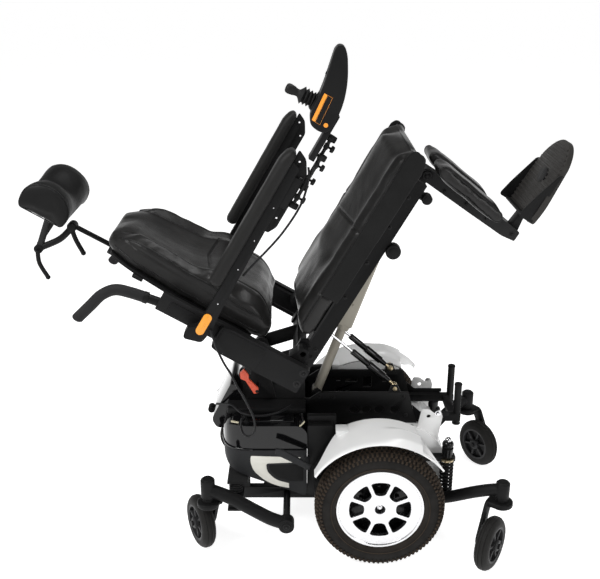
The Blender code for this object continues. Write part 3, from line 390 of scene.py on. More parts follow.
def turned(profile, centre, sides=96, closed=True):
    """Solid of revolution about Y: profile holds (Y, radius)."""
    shape = bmesh.new()
    rings = []
    for y, radius in profile:
        rings.append([shape.verts.new((centre[0] + radius * math.cos(2 * math.pi * i / sides), centre[1] + y,
                                       centre[2] + radius * math.sin(2 * math.pi * i / sides)))
                      for i in range(sides)])
    pairs = list(zip(rings, rings[1:])) + ([(rings[-1], rings[0])] if closed else [])
    for a, b in pairs:
        for i in range(sides):
            shape.faces.new((a[i], a[(i + 1) % sides], b[(i + 1) % sides], b[i]))
    if not closed:
        shape.faces.new(rings[0])
        shape.faces.new(rings[-1][::-1])
    return from_bmesh(shape)


def smooth_path(points, steps=6):
    """Points of a Catmull-Rom curve through the given ones."""
    ends = [Vector(p) for p in points]
    ends = [2 * ends[0] - ends[1], *ends, 2 * ends[-1] - ends[-2]]
    path = []
    for a, b, c, d in zip(ends, ends[1:], ends[2:], ends[3:]):
        for step in range(steps):
            t = step / steps
            path.append(0.5 * (2 * b + (c - a) * t + (2 * a - 5 * b + 4 * c - d) * t * t
                               + (3 * b - a - 3 * c + d) * t ** 3))
    path.append(ends[-2])
    return path


def tube(points, radius, resolution=5, closed=False):
    curve = bpy.data.curves.new("tube", "CURVE")
    curve.dimensions = "3D"
    curve.bevel_depth = radius
    curve.bevel_resolution = resolution
    curve.use_fill_caps = not closed
    spline = curve.splines.new("POLY")
    spline.points.add(len(points) - 1)
    spline.use_cyclic_u = closed
    for point, place in zip(spline.points, points):
        point.co = (*place, 1.0)
    source = bpy.data.objects.new("tube", curve)
    bpy.context.scene.collection.objects.link(source)
    return realise(source)


def helix(start, end, radius, wire, turns, steps=20):
    """Coil spring between two points."""
    start, end = Vector(start), Vector(end)
    turn = (end - start).to_track_quat("Z", "Y").to_matrix()
    length = (end - start).length
    points = []
    for i in range(int(turns * steps) + 1):
        t = i / (turns * steps)
        angle = 2 * math.pi * turns * t
        points.append(start + turn @ Vector((radius * math.cos(angle), radius * math.sin(angle),
                                             length * t)))
    return tube(points, wire, 3)


def boolean(operation, target, *tools):
    for tool in tools:
        step = target.modifiers.new("Boolean", "BOOLEAN")
        step.operation = operation
        step.solver = "EXACT"
        step.object = tool
    made = realise(target)
    for tool in tools:
        bpy.data.objects.remove(tool, do_unlink=True)
    return made


def joined(first, *others):
    """One object from several, without merging their surfaces."""
    shape = bmesh.new()
    for made in (first, *others):
        shape.from_mesh(made.data)
        bpy.data.objects.remove(made, do_unlink=True)
    mesh = bpy.data.meshes.new("piece")
    shape.to_mesh(mesh)
    shape.free()
    made = bpy.data.objects.new("piece", mesh)
    bpy.context.scene.collection.objects.link(made)
    return made


def ring_points(x, z, radius, count=24, start=0.0, stop=360.0):
    full = abs(stop - start) >= 360.0
    steps = count if full else count - 1
    angles = [math.radians(start + (stop - start) * i / steps) for i in range(count)]
    return [(x + radius * math.cos(a), z + radius * math.sin(a)) for a in angles]


def side_name(name, side):
    return f"{name}_{'left' if side > 0 else 'right'}"


def across(low, high, side):
    return (low, high) if side > 0 else (-high, -low)


# ---- Placing ----
def put(made, name, body, look, axes=BASE, stands_for=(), smooth=38):
    """Name a piece, carry it to its place, give it its material and let it ride its body."""
    made.name = name
    made.data.name = name
    made.data.transform(axes)
    made.data.materials.clear()
    made.data.materials.append(look)
    made.data.shade_smooth()
    if smooth < 180:
        made.data.set_sharp_from_angle(angle=math.radians(smooth))
    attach(made, body)
    if stands_for:
        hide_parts(*stands_for)
    return made


BODY_OF = {node: body for body, nodes in frame["record"]["behaviour"]["bodies"].items() for node in nodes}


def refined(node, look, bevel=0.0008, segments=2, angle=32):
    """A CAD node with its edges eased, in place of the plain one."""
    source = bpy.data.objects.new("piece", frame["nodes"][node].data.copy())
    bpy.context.scene.collection.objects.link(source)
    shape = bmesh.new()
    shape.from_mesh(source.data)
    bmesh.ops.remove_doubles(shape, verts=shape.verts, dist=0.00001)
    bmesh.ops.dissolve_limit(shape, angle_limit=math.radians(1.0), verts=shape.verts, edges=shape.edges)
    shape.to_mesh(source.data)
    shape.free()
    made = bevelled(source, bevel, segments, angle)
    return put(made, f"{node}_look", BODY_OF[node], look, Matrix.Identity(4), (node,), 38)


def paint(node, look):
    """Show a CAD node as it is, in a detailed material."""
    shown = frame["nodes"][node]
    shown.data.materials.clear()
    shown.data.materials.append(look)


def bolt(place, axis, size=0.006, head=0.004, socket=True):
    """Button-head bolt with a washer and a hex socket; axis points outwards."""
    place, axis = Vector(place), Vector(axis).normalized()
    washer = rod(place, place + axis * 0.0012, size * 1.45, sides=28)
    cap = rod(place + axis * 0.001, place + axis * (0.001 + head), size, size * 0.78, 28, 0.0006)
    pieces = [washer, cap]
    if socket:
        dimple = rod(place + axis * (0.0012 + head), place + axis * (0.0014 + head), size * 0.42, sides=6)
        pieces.append(dimple)
    return joined(*pieces)


def cushion_sim(made, cap, pressure=4.0, voxel=0.006, stiffness=18.0):
    """Inflate a closed form as cloth, keeping every point within cap of where it was, then subdivide once."""
    remesh = made.modifiers.new("Remesh", "REMESH")
    remesh.mode = "VOXEL"
    remesh.voxel_size = voxel
    made = realise(made)
    rest = [v.co.copy() for v in made.data.vertices]
    cloth = made.modifiers.new("Cloth", "CLOTH")
    cloth.settings.use_pressure = True
    cloth.settings.uniform_pressure_force = pressure
    cloth.settings.effector_weights.gravity = 0.0
    cloth.settings.tension_stiffness = stiffness
    cloth.settings.compression_stiffness = stiffness
    cloth.settings.bending_stiffness = 0.4
    cloth.settings.quality = 5
    cloth.point_cache.frame_start = 1
    cloth.point_cache.frame_end = 20
    for step in range(1, 21):
        bpy.context.scene.frame_set(step)
    made = realise(made)
    bpy.context.scene.frame_set(1)
    if len(made.data.vertices) == len(rest):
        for vertex, start in zip(made.data.vertices, rest):
            moved = vertex.co - start
            if moved.length > cap:
                vertex.co = start + moved.normalized() * cap
    relax = made.modifiers.new("Smooth", "CORRECTIVE_SMOOTH")
    relax.iterations = 4
    relax.use_only_smooth = True
    made = realise(made)
    finer = made.modifiers.new("Subdivision", "SUBSURF")
    finer.levels = 1
    finer.render_levels = 1
    return realise(made)


def reshape(made, change):
    """Move every vertex by a function of its place."""
    for vertex in made.data.vertices:
        vertex.co += change(vertex.co)
    return made


def bump(value, centre, width):
    """Bell curve, 1 at the centre."""
    return math.exp(-((value - centre) / width) ** 2)


def ease(value, low, high):
    t = min(max((value - low) / (high - low), 0.0), 1.0)
    return t * t * (3 - 2 * t)


def on_surface(made, points, direction, lift=0.0):
    """The points dropped on to a mesh along a direction."""
    tree = BVHTree.FromPolygons([v.co for v in made.data.vertices],
                                [tuple(p.vertices) for p in made.data.polygons])
    direction = Vector(direction).normalized()
    found = []
    for point in points:
        hit = tree.ray_cast(Vector(point) - direction * 0.2, direction)
        if hit[0] is not None:
            found.append(hit[0] - direction * lift)
    return found


def nearest_surface(made, points, lift=0.0):
    tree = BVHTree.FromPolygons([v.co for v in made.data.vertices],
                                [tuple(p.vertices) for p in made.data.polygons])
    found = []
    for point in points:
        place, normal, _, _ = tree.find_nearest(Vector(point))
        found.append(place + normal * lift)
    return found


# ---- Cords ----
def cords():
    """The joystick's slack cable, and the short run of it along the armrest."""
    route = [(-0.222, -0.2970, 0.700), (-0.214, -0.2970, 0.672), (-0.204, -0.2970, 0.640),
             (-0.190, -0.2960, 0.606),
             (-0.174, -0.2930, 0.575), (-0.160, -0.2890, 0.540), (-0.144, -0.2830, 0.505),
             (-0.130, -0.2770, 0.470),
             (-0.119, -0.2710, 0.437), (-0.116, -0.2650, 0.405), (-0.122, -0.2580, 0.381),
             (-0.136, -0.2500, 0.368),
             (-0.150, -0.2400, 0.372), (-0.156, -0.2300, 0.388), (-0.155, -0.2180, 0.400),
             (-0.150, -0.2050, 0.402),
             (-0.146, -0.1900, 0.394), (-0.144, -0.1800, 0.3805), (-0.144, -0.1790, 0.3735)]
    path = [BASE @ point for point in smooth_path(route, 8)]
    loop = tube(path, 0.0030)
    loop.name = "joystick_cable_loop"
    loop.data.materials.append(CABLE)
    loop.data.shade_smooth()
    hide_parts("joystick_cable")
    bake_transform(loop)
    upper = [(0.520, -0.2775, 0.3480), (0.505, -0.2790, 0.3380), (0.480, -0.2800, 0.3280),
             (0.440, -0.2810, 0.3190),
             (0.395, -0.2820, 0.3180), (0.340, -0.2830, 0.3230), (0.290, -0.2840, 0.3330),
             (0.245, -0.2850, 0.3440),
             (0.205, -0.2860, 0.3520)]
    run = [SEAT @ point for point in smooth_path(upper, 8)]
    lead = tube(run, 0.0028)
    lead.name = "joystick_cable_run"
    lead.data.materials.append(CABLE)
    lead.data.shade_smooth()
    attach(lead, "armrest_right")


# ---- Base ----
def body_shells():
    """Lower tub, gloss lid with its sloped housing, and the cream panels on the sides."""
    plan = rounded([(-0.2135, -0.2015), (0.060, -0.2015), (0.060, 0.2015), (-0.2135, 0.2015)],
                   [0.085, 0.0, 0.0, 0.085], 10)
    side = rounded([(-0.2115, 0.262), (-0.196, 0.234), (0.016, 0.1515), (0.0235, 0.157),
                    (0.0235, SEAM_Z - 0.003),
                    (-0.2115, SEAM_Z - 0.003)], [0.02, 0.02, 0.006, 0.004, 0.001, 0.001])
    tub = boolean("INTERSECT", slab(side, -0.21, 0.21), flat(plan, 0.10, 0.40))
    put(bevelled(tub, 0.0022, 3, 40), "body_tub", "base", GREY, BASE, ("lower_body",))
    bead = [(x, y, SEAM_Z) for x, y in plan if x < 0.0595]
    put(tube(bead, 0.0032, 3), "body_bead", "base", GLOSS)
    roof_side = rounded([(-0.2130, SEAM_Z + 0.003), (0.0245, SEAM_Z + 0.003), (0.0245, 0.352),
                         (0.005, 0.372),
                         (-0.188, 0.3715), (-0.213, 0.349)], [0.002, 0.002, 0.012, 0.014, 0.03, 0.03])
    roof = bevelled(boolean("INTERSECT", slab(roof_side, -0.21, 0.21), flat(plan, 0.10, 0.50)), 0.010, 5, 40)
    housing = slab(rounded([(-0.236, 0.303), (-0.150, 0.303), (-0.158, 0.371), (-0.177, 0.440),
                            (-0.193, 0.443),
                            (-0.2515, 0.330)], [0.01, 0.004, 0.006, 0.012, 0.012, 0.022]), -0.085, 0.085, (),
                            0.010, 4)
    ledge = bevelled(block((-0.185, -0.178, 0.368), (-0.012, 0.178, 0.3765)), 0.004, 3)
    put(joined(roof, housing, ledge), "body_lid", "base", GLOSS, BASE, ("rear_lid",))
    knob = joined(rod((-0.258, -0.014, 0.322), (-0.258, 0.014, 0.322), 0.0105, None, 28, 0.003),
                  rod((-0.258, -0.0145, 0.322), (-0.258, -0.020, 0.322), 0.0045))
    put(knob, "lid_knob", "base", PLASTIC)
    swoosh = [(-0.1330, 0.2785), (0.0050, 0.2740), (0.0035, 0.2585), (-0.0540, 0.2560), (-0.0900, 0.2545),
              (-0.0890, 0.2300), (-0.0640, 0.2010), (-0.0270, 0.1905), (-0.0265, 0.1755), (-0.0640, 0.1835),
              (-0.1000, 0.2035), (-0.1270, 0.2330), (-0.1345, 0.2600)]
    for side in (-1, 1):
        panel = slab(rounded(swoosh, [0.004, 0.001, 0.001, 0.004, 0.006, 0.02, 0.02, 0.001, 0.001, 0.03,
                                      0.03, 0.03,
                                      0.01]), *across(0.2005, 0.2024, side), (), 0.0004)
        put(panel, side_name("cream_swoosh", side), "base", CREAM)
        inset = slab(rounded([(-0.083, 0.249), (0.014, 0.252), (0.014, 0.196), (-0.022, 0.197),
                              (-0.058, 0.207),
                              (-0.080, 0.231)], 0.006), *across(0.2005, 0.2018, side), (), 0.0004)
        put(inset, side_name("swoosh_inset", side), "base", TEXTURED)
        foot = block((-0.160, side * 0.150 - 0.012, 0.3755), (-0.136, side * 0.150 + 0.012, 0.386), 0.002)
        put(foot, side_name("lid_latch", side), "base", PLASTIC)
    gland = joined(rod((-0.144, -0.179, 0.370), (-0.144, -0.179, 0.3790), 0.0070, 0.0058, 24, 0.001),
                   rod((-0.144, -0.179, 0.370), (-0.144, -0.179, 0.3735), 0.0095, None, 6))
    put(gland, "cable_gland", "base", PLASTIC)
    for name, place, tilt in (("front", (0.0095, -0.196, 0.3760), 24),
                              ("rear", (-0.176, -0.188, 0.3785), -6)):
        tag = block((-0.011, -0.0035, -0.0016), (0.011, 0.0035, 0.0016), 0.0006)
        tag.data.transform(Matrix.Translation(place) @ Matrix.Rotation(math.radians(-tilt * 2.0), 4, "Y"))
        put(tag, f"tie_tag_{name}", "base", TAG)
    lead = [(0.004, -0.150, 0.380), (0.010, -0.163, 0.388), (0.010, -0.180, 0.389), (0.013, -0.192, 0.384),
            (0.006, -0.196, 0.374)]
    put(tube(smooth_path(lead, 8), 0.0030), "harness_front", "base", CABLE)
    harness = [(-0.020, -0.120, 0.392), (-0.060, -0.160, 0.391), (-0.110, -0.172, 0.388),
               (-0.155, -0.165, 0.392),
               (-0.190, -0.120, 0.395), (-0.236, -0.070, 0.372)]
    put(tube(smooth_path(harness, 8), 0.0034), "harness_rear", "base", CABLE)
    for side in (-1, 1):
        low, high = across(0.150, 0.1675, side)
        put(block((0.0250, low, 0.1320), (0.1050, high, 0.3860), 0.002), side_name("frame_side_plate", side),
            "base", STEEL)
        low, high = across(0.1690, 0.1985, side)
        clamp = slab(rounded([(0.0250, 0.3720), (0.0250, 0.2500), (0.0400, 0.2420), (0.0560, 0.2700),
                              (0.0950, 0.3450),
                              (0.0950, 0.3720)], 0.006), low, high, (), 0.002)
        put(clamp, side_name("lid_clamp", side), "base", PLASTIC)
    put(block((-0.200, -0.135, 0.3735), (0.020, 0.135, 0.3920), 0.004), "power_box", "base", PLASTIC)
    paint("battery_pack", BATTERY)


def guard_point(angle, t):
    """Point on a drive wheel guard: angle round the axle in degrees, t from the inner to the outer edge."""
    inner = 0.188 + 0.104 * ease(angle, 112, 147) ** 1.3 + 0.050 * (1 - ease(angle, 59, 61))
    inner += 0.066 * (1 - ease(angle, 40, 59))
    outer = 0.3268
    radius = 0.2113 - 0.0055 * ease(t, 0.86, 1.0) ** 1.6
    scoop = ease(angle, 59, 61) * (1 - ease(angle, 74, 92))
    radius += 0.0100 * scoop * ease(t, 0.30, 0.45) * (1 - ease(t, 0.80, 0.93))
    radius -= 0.0050 * (1 - ease(angle, 59, 61)) * (1 - ease(t, 0.5, 1.0))
    y = inner + (outer - inner) * min(t / 0.96, 1.0)
    turn = math.radians(angle)
    return DRIVE_AXLE.x + radius * math.cos(turn), y, DRIVE_AXLE.z + radius * math.sin(turn)


def fender(side):
    """Gloss guard with a rolled outer lip and a raised scoop towards the front."""
    shape = bmesh.new()
    columns, rows = 110, 34
    start, stop = 38.0, 148.0
    grid = []
    for i in range(columns + 1):
        angle = start + (stop - start) * i / columns
        grid.append([shape.verts.new((x, side * y, z)) for x, y, z in
                     (guard_point(angle, j / rows) for j in range(rows + 1))])
    for a, b in zip(grid, grid[1:]):
        for j in range(rows):
            shape.faces.new((a[j], a[j + 1], b[j + 1], b[j]))
    shell = from_bmesh(shape)
    thick = shell.modifiers.new("Solidify", "SOLIDIFY")
    thick.thickness = 0.003
    thick.offset = -1.0 if side < 0 else 1.0
    shell = bevelled(realise(shell), 0.0008, 2, 60)
    wall = slab(ring_points(DRIVE_AXLE.x, DRIVE_AXLE.z, 0.2085, 40, 62, 118)
                + ring_points(DRIVE_AXLE.x, DRIVE_AXLE.z, 0.168, 24, 116, 64), *across(0.1885, 0.1915, side),
                (), 0.0006)
    low, high = across(0.1900, 0.2300, side)
    tab = block((0.1020, low, 0.3560), (0.1420, high, 0.3720), 0.0015)
    put(tab, side_name("fender_tab", side), "base", WHITE)
    put(joined(shell, wall), side_name("fender_shell", side), "base", WHITE, BASE,
        (side_name("fender", side),), 42)


def nose_cover():
    outer = rounded([(0.262, 0.3135), (0.350, 0.3135), (0.375, 0.300), (0.412, 0.262), (0.430, 0.200),
                     (0.430, 0.150),
                     (0.262, 0.150)], [0.001, 0.02, 0.03, 0.03, 0.03, 0.004, 0.001])
    shell = slab(outer, -0.118, 0.118, (), 0.009, 4)
    posts = [block((0.25, y, 0.12), (0.3325, y + 0.060, 0.330)) for y in (-0.146, 0.086)]
    bars = [block((0.295, y, 0.3085), (0.480, y + 0.0235, 0.345)) for y in (-0.0735, 0.050)]
    hollow = block((0.24, -0.112, 0.12), (0.300, 0.112, 0.3100))
    put(boolean("DIFFERENCE", shell, *posts, *bars, hollow), "nose_shell", "base", WHITE, BASE,
        ("front_cover",))
    for side in (-1, 1):
        ear = slab(rounded([(0.338, 0.300), (0.352, 0.372), (0.372, 0.372), (0.392, 0.356), (0.404, 0.372),
                            (0.412, 0.350), (0.400, 0.270), (0.372, 0.290)], 0.006),
                            *across(0.100, 0.1055, side),
                   [ring_points(0.372, 0.350, 0.006, 16)], 0.001)
        put(ear, side_name("nose_ear", side), "base", WHITE)
        put(bolt((0.398, side * 0.1055, 0.360), (0, side, 0), 0.006, 0.006), side_name("nose_bolt", side),
            "base", CHROME)


def wheels(side):
    """Knobbly tyre and machined eight-spoke rim."""
    inner, outer = TYRE_SIDES
    body = side_name("drive_wheel", side)
    middle = (inner + outer) / 2
    half = (outer - inner) / 2
    profile = [(-0.0275, 0.1206), (-0.0335, 0.126), (-half, 0.140), (-half + 0.0015, 0.152),
               (-0.0300, 0.1645),
               (-0.0215, 0.1722), (-0.0110, 0.1742), (0.0, 0.1746), (0.0110, 0.1742), (0.0215, 0.1722),
               (0.0300, 0.1645), (half - 0.0015, 0.152), (half, 0.140), (0.0335, 0.126), (0.0275, 0.1206)]
    centre = (DRIVE_AXLE.x, side * middle, DRIVE_AXLE.z)
    carcass = turned(profile, centre, 160)
    lugs = bmesh.new()
    count = 84
    rows = ((0.0, 0.0, 0.0075, 0.0026, 0.1750), (-0.0125, 0.5, 0.0060, 0.0030, 0.1742),
            (0.0125, 0.5, 0.0060, 0.0030, 0.1742), (-0.0235, 0.0, 0.0070, 0.0030, 0.1706),
            (0.0235, 0.0, 0.0070, 0.0030, 0.1706), (-0.0318, 0.5, 0.0050, 0.0027, 0.1622),
            (0.0318, 0.5, 0.0050, 0.0027, 0.1622))
    for y, phase, wide, long, radius in rows:
        lean = math.atan2(y, 0.052) * 0.9
        for i in range(count):
            turn = 2 * math.pi * (i + phase) / count
            placed = (Matrix.Translation(centre) @ Matrix.Rotation(turn, 4,
                                                                   "Y") @ Matrix.Translation((0, y, radius))
                      @ Matrix.Rotation(-lean, 4, "X") @ Matrix.Diagonal((long * 2, wide * 2, 0.0052, 1)))
            bmesh.ops.create_cube(lugs, size=1.0, matrix=placed)
    tread = bevelled(from_bmesh(lugs), 0.0007, 1)
    walls = [turned([(edge - 0.0007, r - 0.0008), (edge + 0.0007, r - 0.0008), (edge + 0.0007, r + 0.0008),
                     (edge - 0.0007, r + 0.0008)], centre, 120)
             for edge, r in ((-half + 0.0002, 0.1335), (half - 0.0002, 0.1335), (half - 0.0002, 0.1435))]
    put(joined(carcass, tread, *walls), side_name("tyre_tread", side), body, RUBBER, BASE,
        (side_name("tyre", side),),
        40)
    face_out = 0.3125
    low, high = across(0.2985, face_out, side)
    windows = []
    for spoke in range(8):
        middle_angle = 45.0 * spoke
        wedge = [(0.0845, 0.0), (0.0830, 0.0160), (0.0790, 0.0272), (0.0450, 0.0135), (0.0425, 0.0),
                 (0.0450, -0.0135), (0.0790, -0.0272), (0.0830, -0.0160)]
        wedge = rounded(wedge, [0.004, 0.004, 0.0095, 0.0095, 0.006, 0.0095, 0.0095, 0.004], 5)
        c, s = math.cos(math.radians(middle_angle)), math.sin(math.radians(middle_angle))
        windows.append([(DRIVE_AXLE.x + x * c - z * s, DRIVE_AXLE.z + x * s + z * c) for x, z in wedge])
    face = slab(ring_points(DRIVE_AXLE.x, DRIVE_AXLE.z, 0.1165, 128), low, high,
                [*windows, ring_points(DRIVE_AXLE.x, DRIVE_AXLE.z, 0.0145, 40)], 0.0013, 3)
    flange = turned([(side * y, r) for y, r in ((0.3135, 0.1120), (0.3148, 0.1135), (0.3148, 0.1185),
                                                (0.3120, 0.1194),
                                                (0.3070, 0.1194), (0.3070, 0.1120))],
                    (DRIVE_AXLE.x, 0, DRIVE_AXLE.z), 128)
    put(joined(face, flange), side_name("rim_face", side), body, MACHINED, BASE, (side_name("rim", side),),
        35)
    barrel = turned([(side * y, r) for y, r in ((0.2980, 0.1180), (0.2620, 0.1192), (0.2620, 0.1120),
                                                (0.2980, 0.1060))],
                    (DRIVE_AXLE.x, 0, DRIVE_AXLE.z), 96)
    dish = turned([(side * y, r) for y, r in ((0.2760, 0.0100), (0.2760, 0.1080), (0.2720, 0.1080),
                                              (0.2720, 0.0100))],
                  (DRIVE_AXLE.x, 0, DRIVE_AXLE.z), 64)
    hub = turned([(side * y, r) for y, r in ((0.2620, 0.0100), (0.2620, 0.0270), (0.2950, 0.0310),
                                             (0.2984, 0.0310),
                                             (0.2984, 0.0100))], (DRIVE_AXLE.x, 0, DRIVE_AXLE.z), 64)
    nuts = []
    for i in range(5):
        a = math.radians(72 * i + 20)
        place = (DRIVE_AXLE.x + 0.052 * math.cos(a), side * 0.2762, DRIVE_AXLE.z + 0.052 * math.sin(a))
        nuts.append(rod(place, (place[0], side * 0.2840, place[2]), 0.0065, None, 6, 0.0008))
    put(joined(barrel, dish, hub, *nuts), side_name("rim_pockets", side), body, POCKET, BASE, smooth=35)
    stub = joined(rod((DRIVE_AXLE.x, side * 0.292, DRIVE_AXLE.z),
                      (DRIVE_AXLE.x, side * 0.3015, DRIVE_AXLE.z), 0.0082,
                      None, 6, 0.0008),
                  rod((DRIVE_AXLE.x, side * 0.298, DRIVE_AXLE.z),
                      (DRIVE_AXLE.x, side * 0.3050, DRIVE_AXLE.z), 0.0040))
    put(stub, side_name("axle_nut", side), body, CHROME)


def casters(end, side):
    """Swivel fork, ribbed wheel and hub, drawn trailing along +X."""
    key = side_name(end, side)
    x, y = FRONT_BARREL if end == "front" else REAR_BARREL
    axes = (BASE @ Matrix.Translation((x, side * y, 0)) @ Matrix.Rotation(math.radians(TRAIL_ANGLES[key]), 4,
        "Z"))
    leg = rounded([(-0.014, 0.166), (-0.014, 0.179), (0.030, 0.179), (0.078, 0.086), (0.0765, 0.070),
                   (0.066, 0.0605),
                   (0.052, 0.0640), (0.036, 0.085), (0.010, 0.150)],
                   [0.006, 0.008, 0.012, 0.01, 0.01, 0.01, 0.01, 0.02,
                                                                     0.02])
    low, high = across(0.0, 0.0362, side)
    pieces = [slab(leg, *across(0.0275, 0.0362, side), (), 0.0022, 3),
              rod((0, 0, 0.1642), (0, 0, 0.1802), 0.0310, None, 48, 0.0045),
              block((-0.0150, low, 0.1642), (0.0300, high, 0.1800), 0.0045, 4),
              rod((0, 0, 0.176), (0, 0, 0.1888), 0.0165, 0.0150, 36, 0.0015)]
    put(joined(*pieces), f"{key}_fork_arm", f"{key}_caster_fork", PLASTIC, axes, (f"{key}_fork",))
    y_end = side * -0.0262
    caps = [rod((CASTER_TRAIL, side * 0.0360, CASTER_RADIUS), (CASTER_TRAIL, side * 0.0374, CASTER_RADIUS),
                0.0085,
                0.0078, 24, 0.001),
            rod((CASTER_TRAIL, side * 0.0280, CASTER_RADIUS), (CASTER_TRAIL, y_end, CASTER_RADIUS), 0.0056,
                None, 24),
            rod((CASTER_TRAIL, y_end * 0.97, CASTER_RADIUS), (CASTER_TRAIL, y_end * 1.16, CASTER_RADIUS),
                0.0082, None, 6,
                0.0008)]
    put(joined(*caps), f"{key}_axle_caps", f"{key}_caster_fork", STEEL, axes)
    half = [(0.0025, 0.0742), (0.0030, 0.0760), (0.0080, 0.0748), (0.0085, 0.0725), (0.0098, 0.0722),
            (0.0102, 0.0732), (0.0145, 0.0702), (0.0182, 0.0652), (0.0198, 0.0600), (0.0198, 0.0515)]
    tread = [(-y, r) for y, r in reversed(half)] + half
    place = (CASTER_TRAIL, 0, CASTER_RADIUS)
    put(turned(tread, place, 96), f"{key}_caster_tyre", f"{key}_caster_wheel", CASTER_RUBBER, axes,
        (f"{key}_wheel",), 35)
    hub = [turned([(-0.0185, 0.0455), (-0.0197, 0.0520), (0.0197, 0.0520), (0.0185, 0.0455)], place, 64),
           turned([(-0.0060, 0.0120), (-0.0060, 0.0470), (0.0060, 0.0470), (0.0060, 0.0120)], place, 64),
           turned([(-0.0255, 0.0066), (-0.0255, 0.0130), (-0.0220, 0.0160), (0.0220, 0.0160),
                   (0.0255, 0.0130),
                   (0.0255, 0.0066)], place, 48)]
    for i in range(6):
        spoke = block((-0.0030, -0.0165, 0.012), (0.0030, 0.0165, 0.049), 0.001)
        spoke.data.transform(Matrix.Translation(place) @ Matrix.Rotation(math.radians(60 * i + 14), 4, "Y"))
        hub.append(spoke)
    put(joined(*hub), f"{key}_caster_hub", f"{key}_caster_wheel", HUB_GREY, axes, smooth=35)


def suspension(side):
    """Curved arms with their barrels and caps, and the sprung links to the chassis."""
    px, pz = 0.385, 0.126
    bx, by = FRONT_BARREL
    path = [(px, side * 0.178, pz), (0.43, side * 0.195, 0.142), (0.49, side * 0.235, 0.184),
            (0.535, side * 0.259, 0.207), (bx, side * by, 0.213)]
    arm = [tube(smooth_path(path, 8), 0.0168), rod((px, side * 0.158, pz), (px, side * 0.197, pz), 0.020,
                                                   None, 40, 0.002),
           rod((bx, side * by, 0.1895), (bx, side * by, 0.236), 0.0190, None, 40, 0.002),
           rod((bx, side * by, 0.2355), (bx, side * by, 0.2400), 0.0175, 0.0140, 40, 0.0015),
           block((0.403, min(side * 0.128, side * 0.19), 0.1195),
                 (0.445, max(side * 0.128, side * 0.19), 0.1280), 0.001)]
    put(joined(*arm), side_name("front_arm_look", side), side_name("front_arm", side), TEXTURED, BASE,
        (side_name("front_arm", side),))
    px, pz = -0.033, 0.125
    bx, by = REAR_BARREL
    path = [(px, side * 0.300, pz), (-0.075, side * 0.297, 0.139), (-0.115, side * 0.291, 0.158),
            (-0.190, side * 0.279, 0.196), (bx, side * by, 0.215)]
    arm = [tube(smooth_path(path, 8), 0.0182), rod((px, side * 0.283, pz), (px, side * 0.3165, pz), 0.0215,
                                                   None, 40, 0.002),
           rod((bx, side * by, 0.1915), (bx, side * by, 0.246), 0.0195, None, 40, 0.002),
           rod((bx, side * by, 0.2455), (bx, side * by, 0.2500), 0.0180, 0.0140, 40, 0.0015),
           block((-0.194, min(side * 0.178, side * 0.29), 0.1580),
                 (-0.154, max(side * 0.178, side * 0.29), 0.1645), 0.001),
           block((-0.192, min(side * 0.262, side * 0.284), 0.1600),
                 (-0.156, max(side * 0.262, side * 0.284), 0.1800), 0.002)]
    put(joined(*arm), side_name("rear_arm_look", side), side_name("rear_arm", side), TEXTURED, BASE,
        (side_name("rear_arm", side),))
    put(joined(bolt((px, side * 0.3172, pz), (0, side, 0), 0.0085, 0.003),
               rod((px, side * 0.3165, pz), (px, side * 0.3185, pz), 0.0150, None, 32, 0.0006)),
        side_name("rear_arm_bolt", side), "base", STEEL)
    put(bolt((0.385, side * 0.1975, 0.126), (0, side, 0), 0.0075, 0.003), side_name("front_arm_bolt", side),
        "base", STEEL)
    for name, x, y, low, high, turns in (("front_spring", 0.425, 0.145, 0.1290, 0.2310, 8.5),
                                         ("rear_spring", -0.176, 0.2005, 0.1650, 0.1995, 3.6)):
        wire = 0.0034
        coil = joined(helix((x, side * y, low + wire), (x, side * y, high - wire), 0.0168, wire, turns),
                      rod((x, side * y, low), (x, side * y, high), 0.0075, None, 24))
        node = side_name(name, side)
        piece = put(coil, f"{node}_coil", "base", STEEL, BASE, (node,))
        piece.parent = None
        del piece["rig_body"]
        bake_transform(piece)
    top = [rod((0.425, side * 0.145, 0.2325), (0.425, side * 0.145, 0.2390), 0.0195, 0.0205, 36, 0.001)]
    put(joined(*top), side_name("spring_ring", side), "base", BRASS)
    dome = joined(ball((0.425, side * 0.145, 0.283), 0.0165, (1, 1, 0.85)),
                  rod((0.425, side * 0.145, 0.246), (0.425, side * 0.145, 0.272), 0.0150, 0.0165, 36))
    put(dome, side_name("spring_dome_base", side), "base", POCKET)
    put(ball((0.425, side * 0.145, 0.296), 0.0095), side_name("spring_dome_tip", side), "base", CHROME)


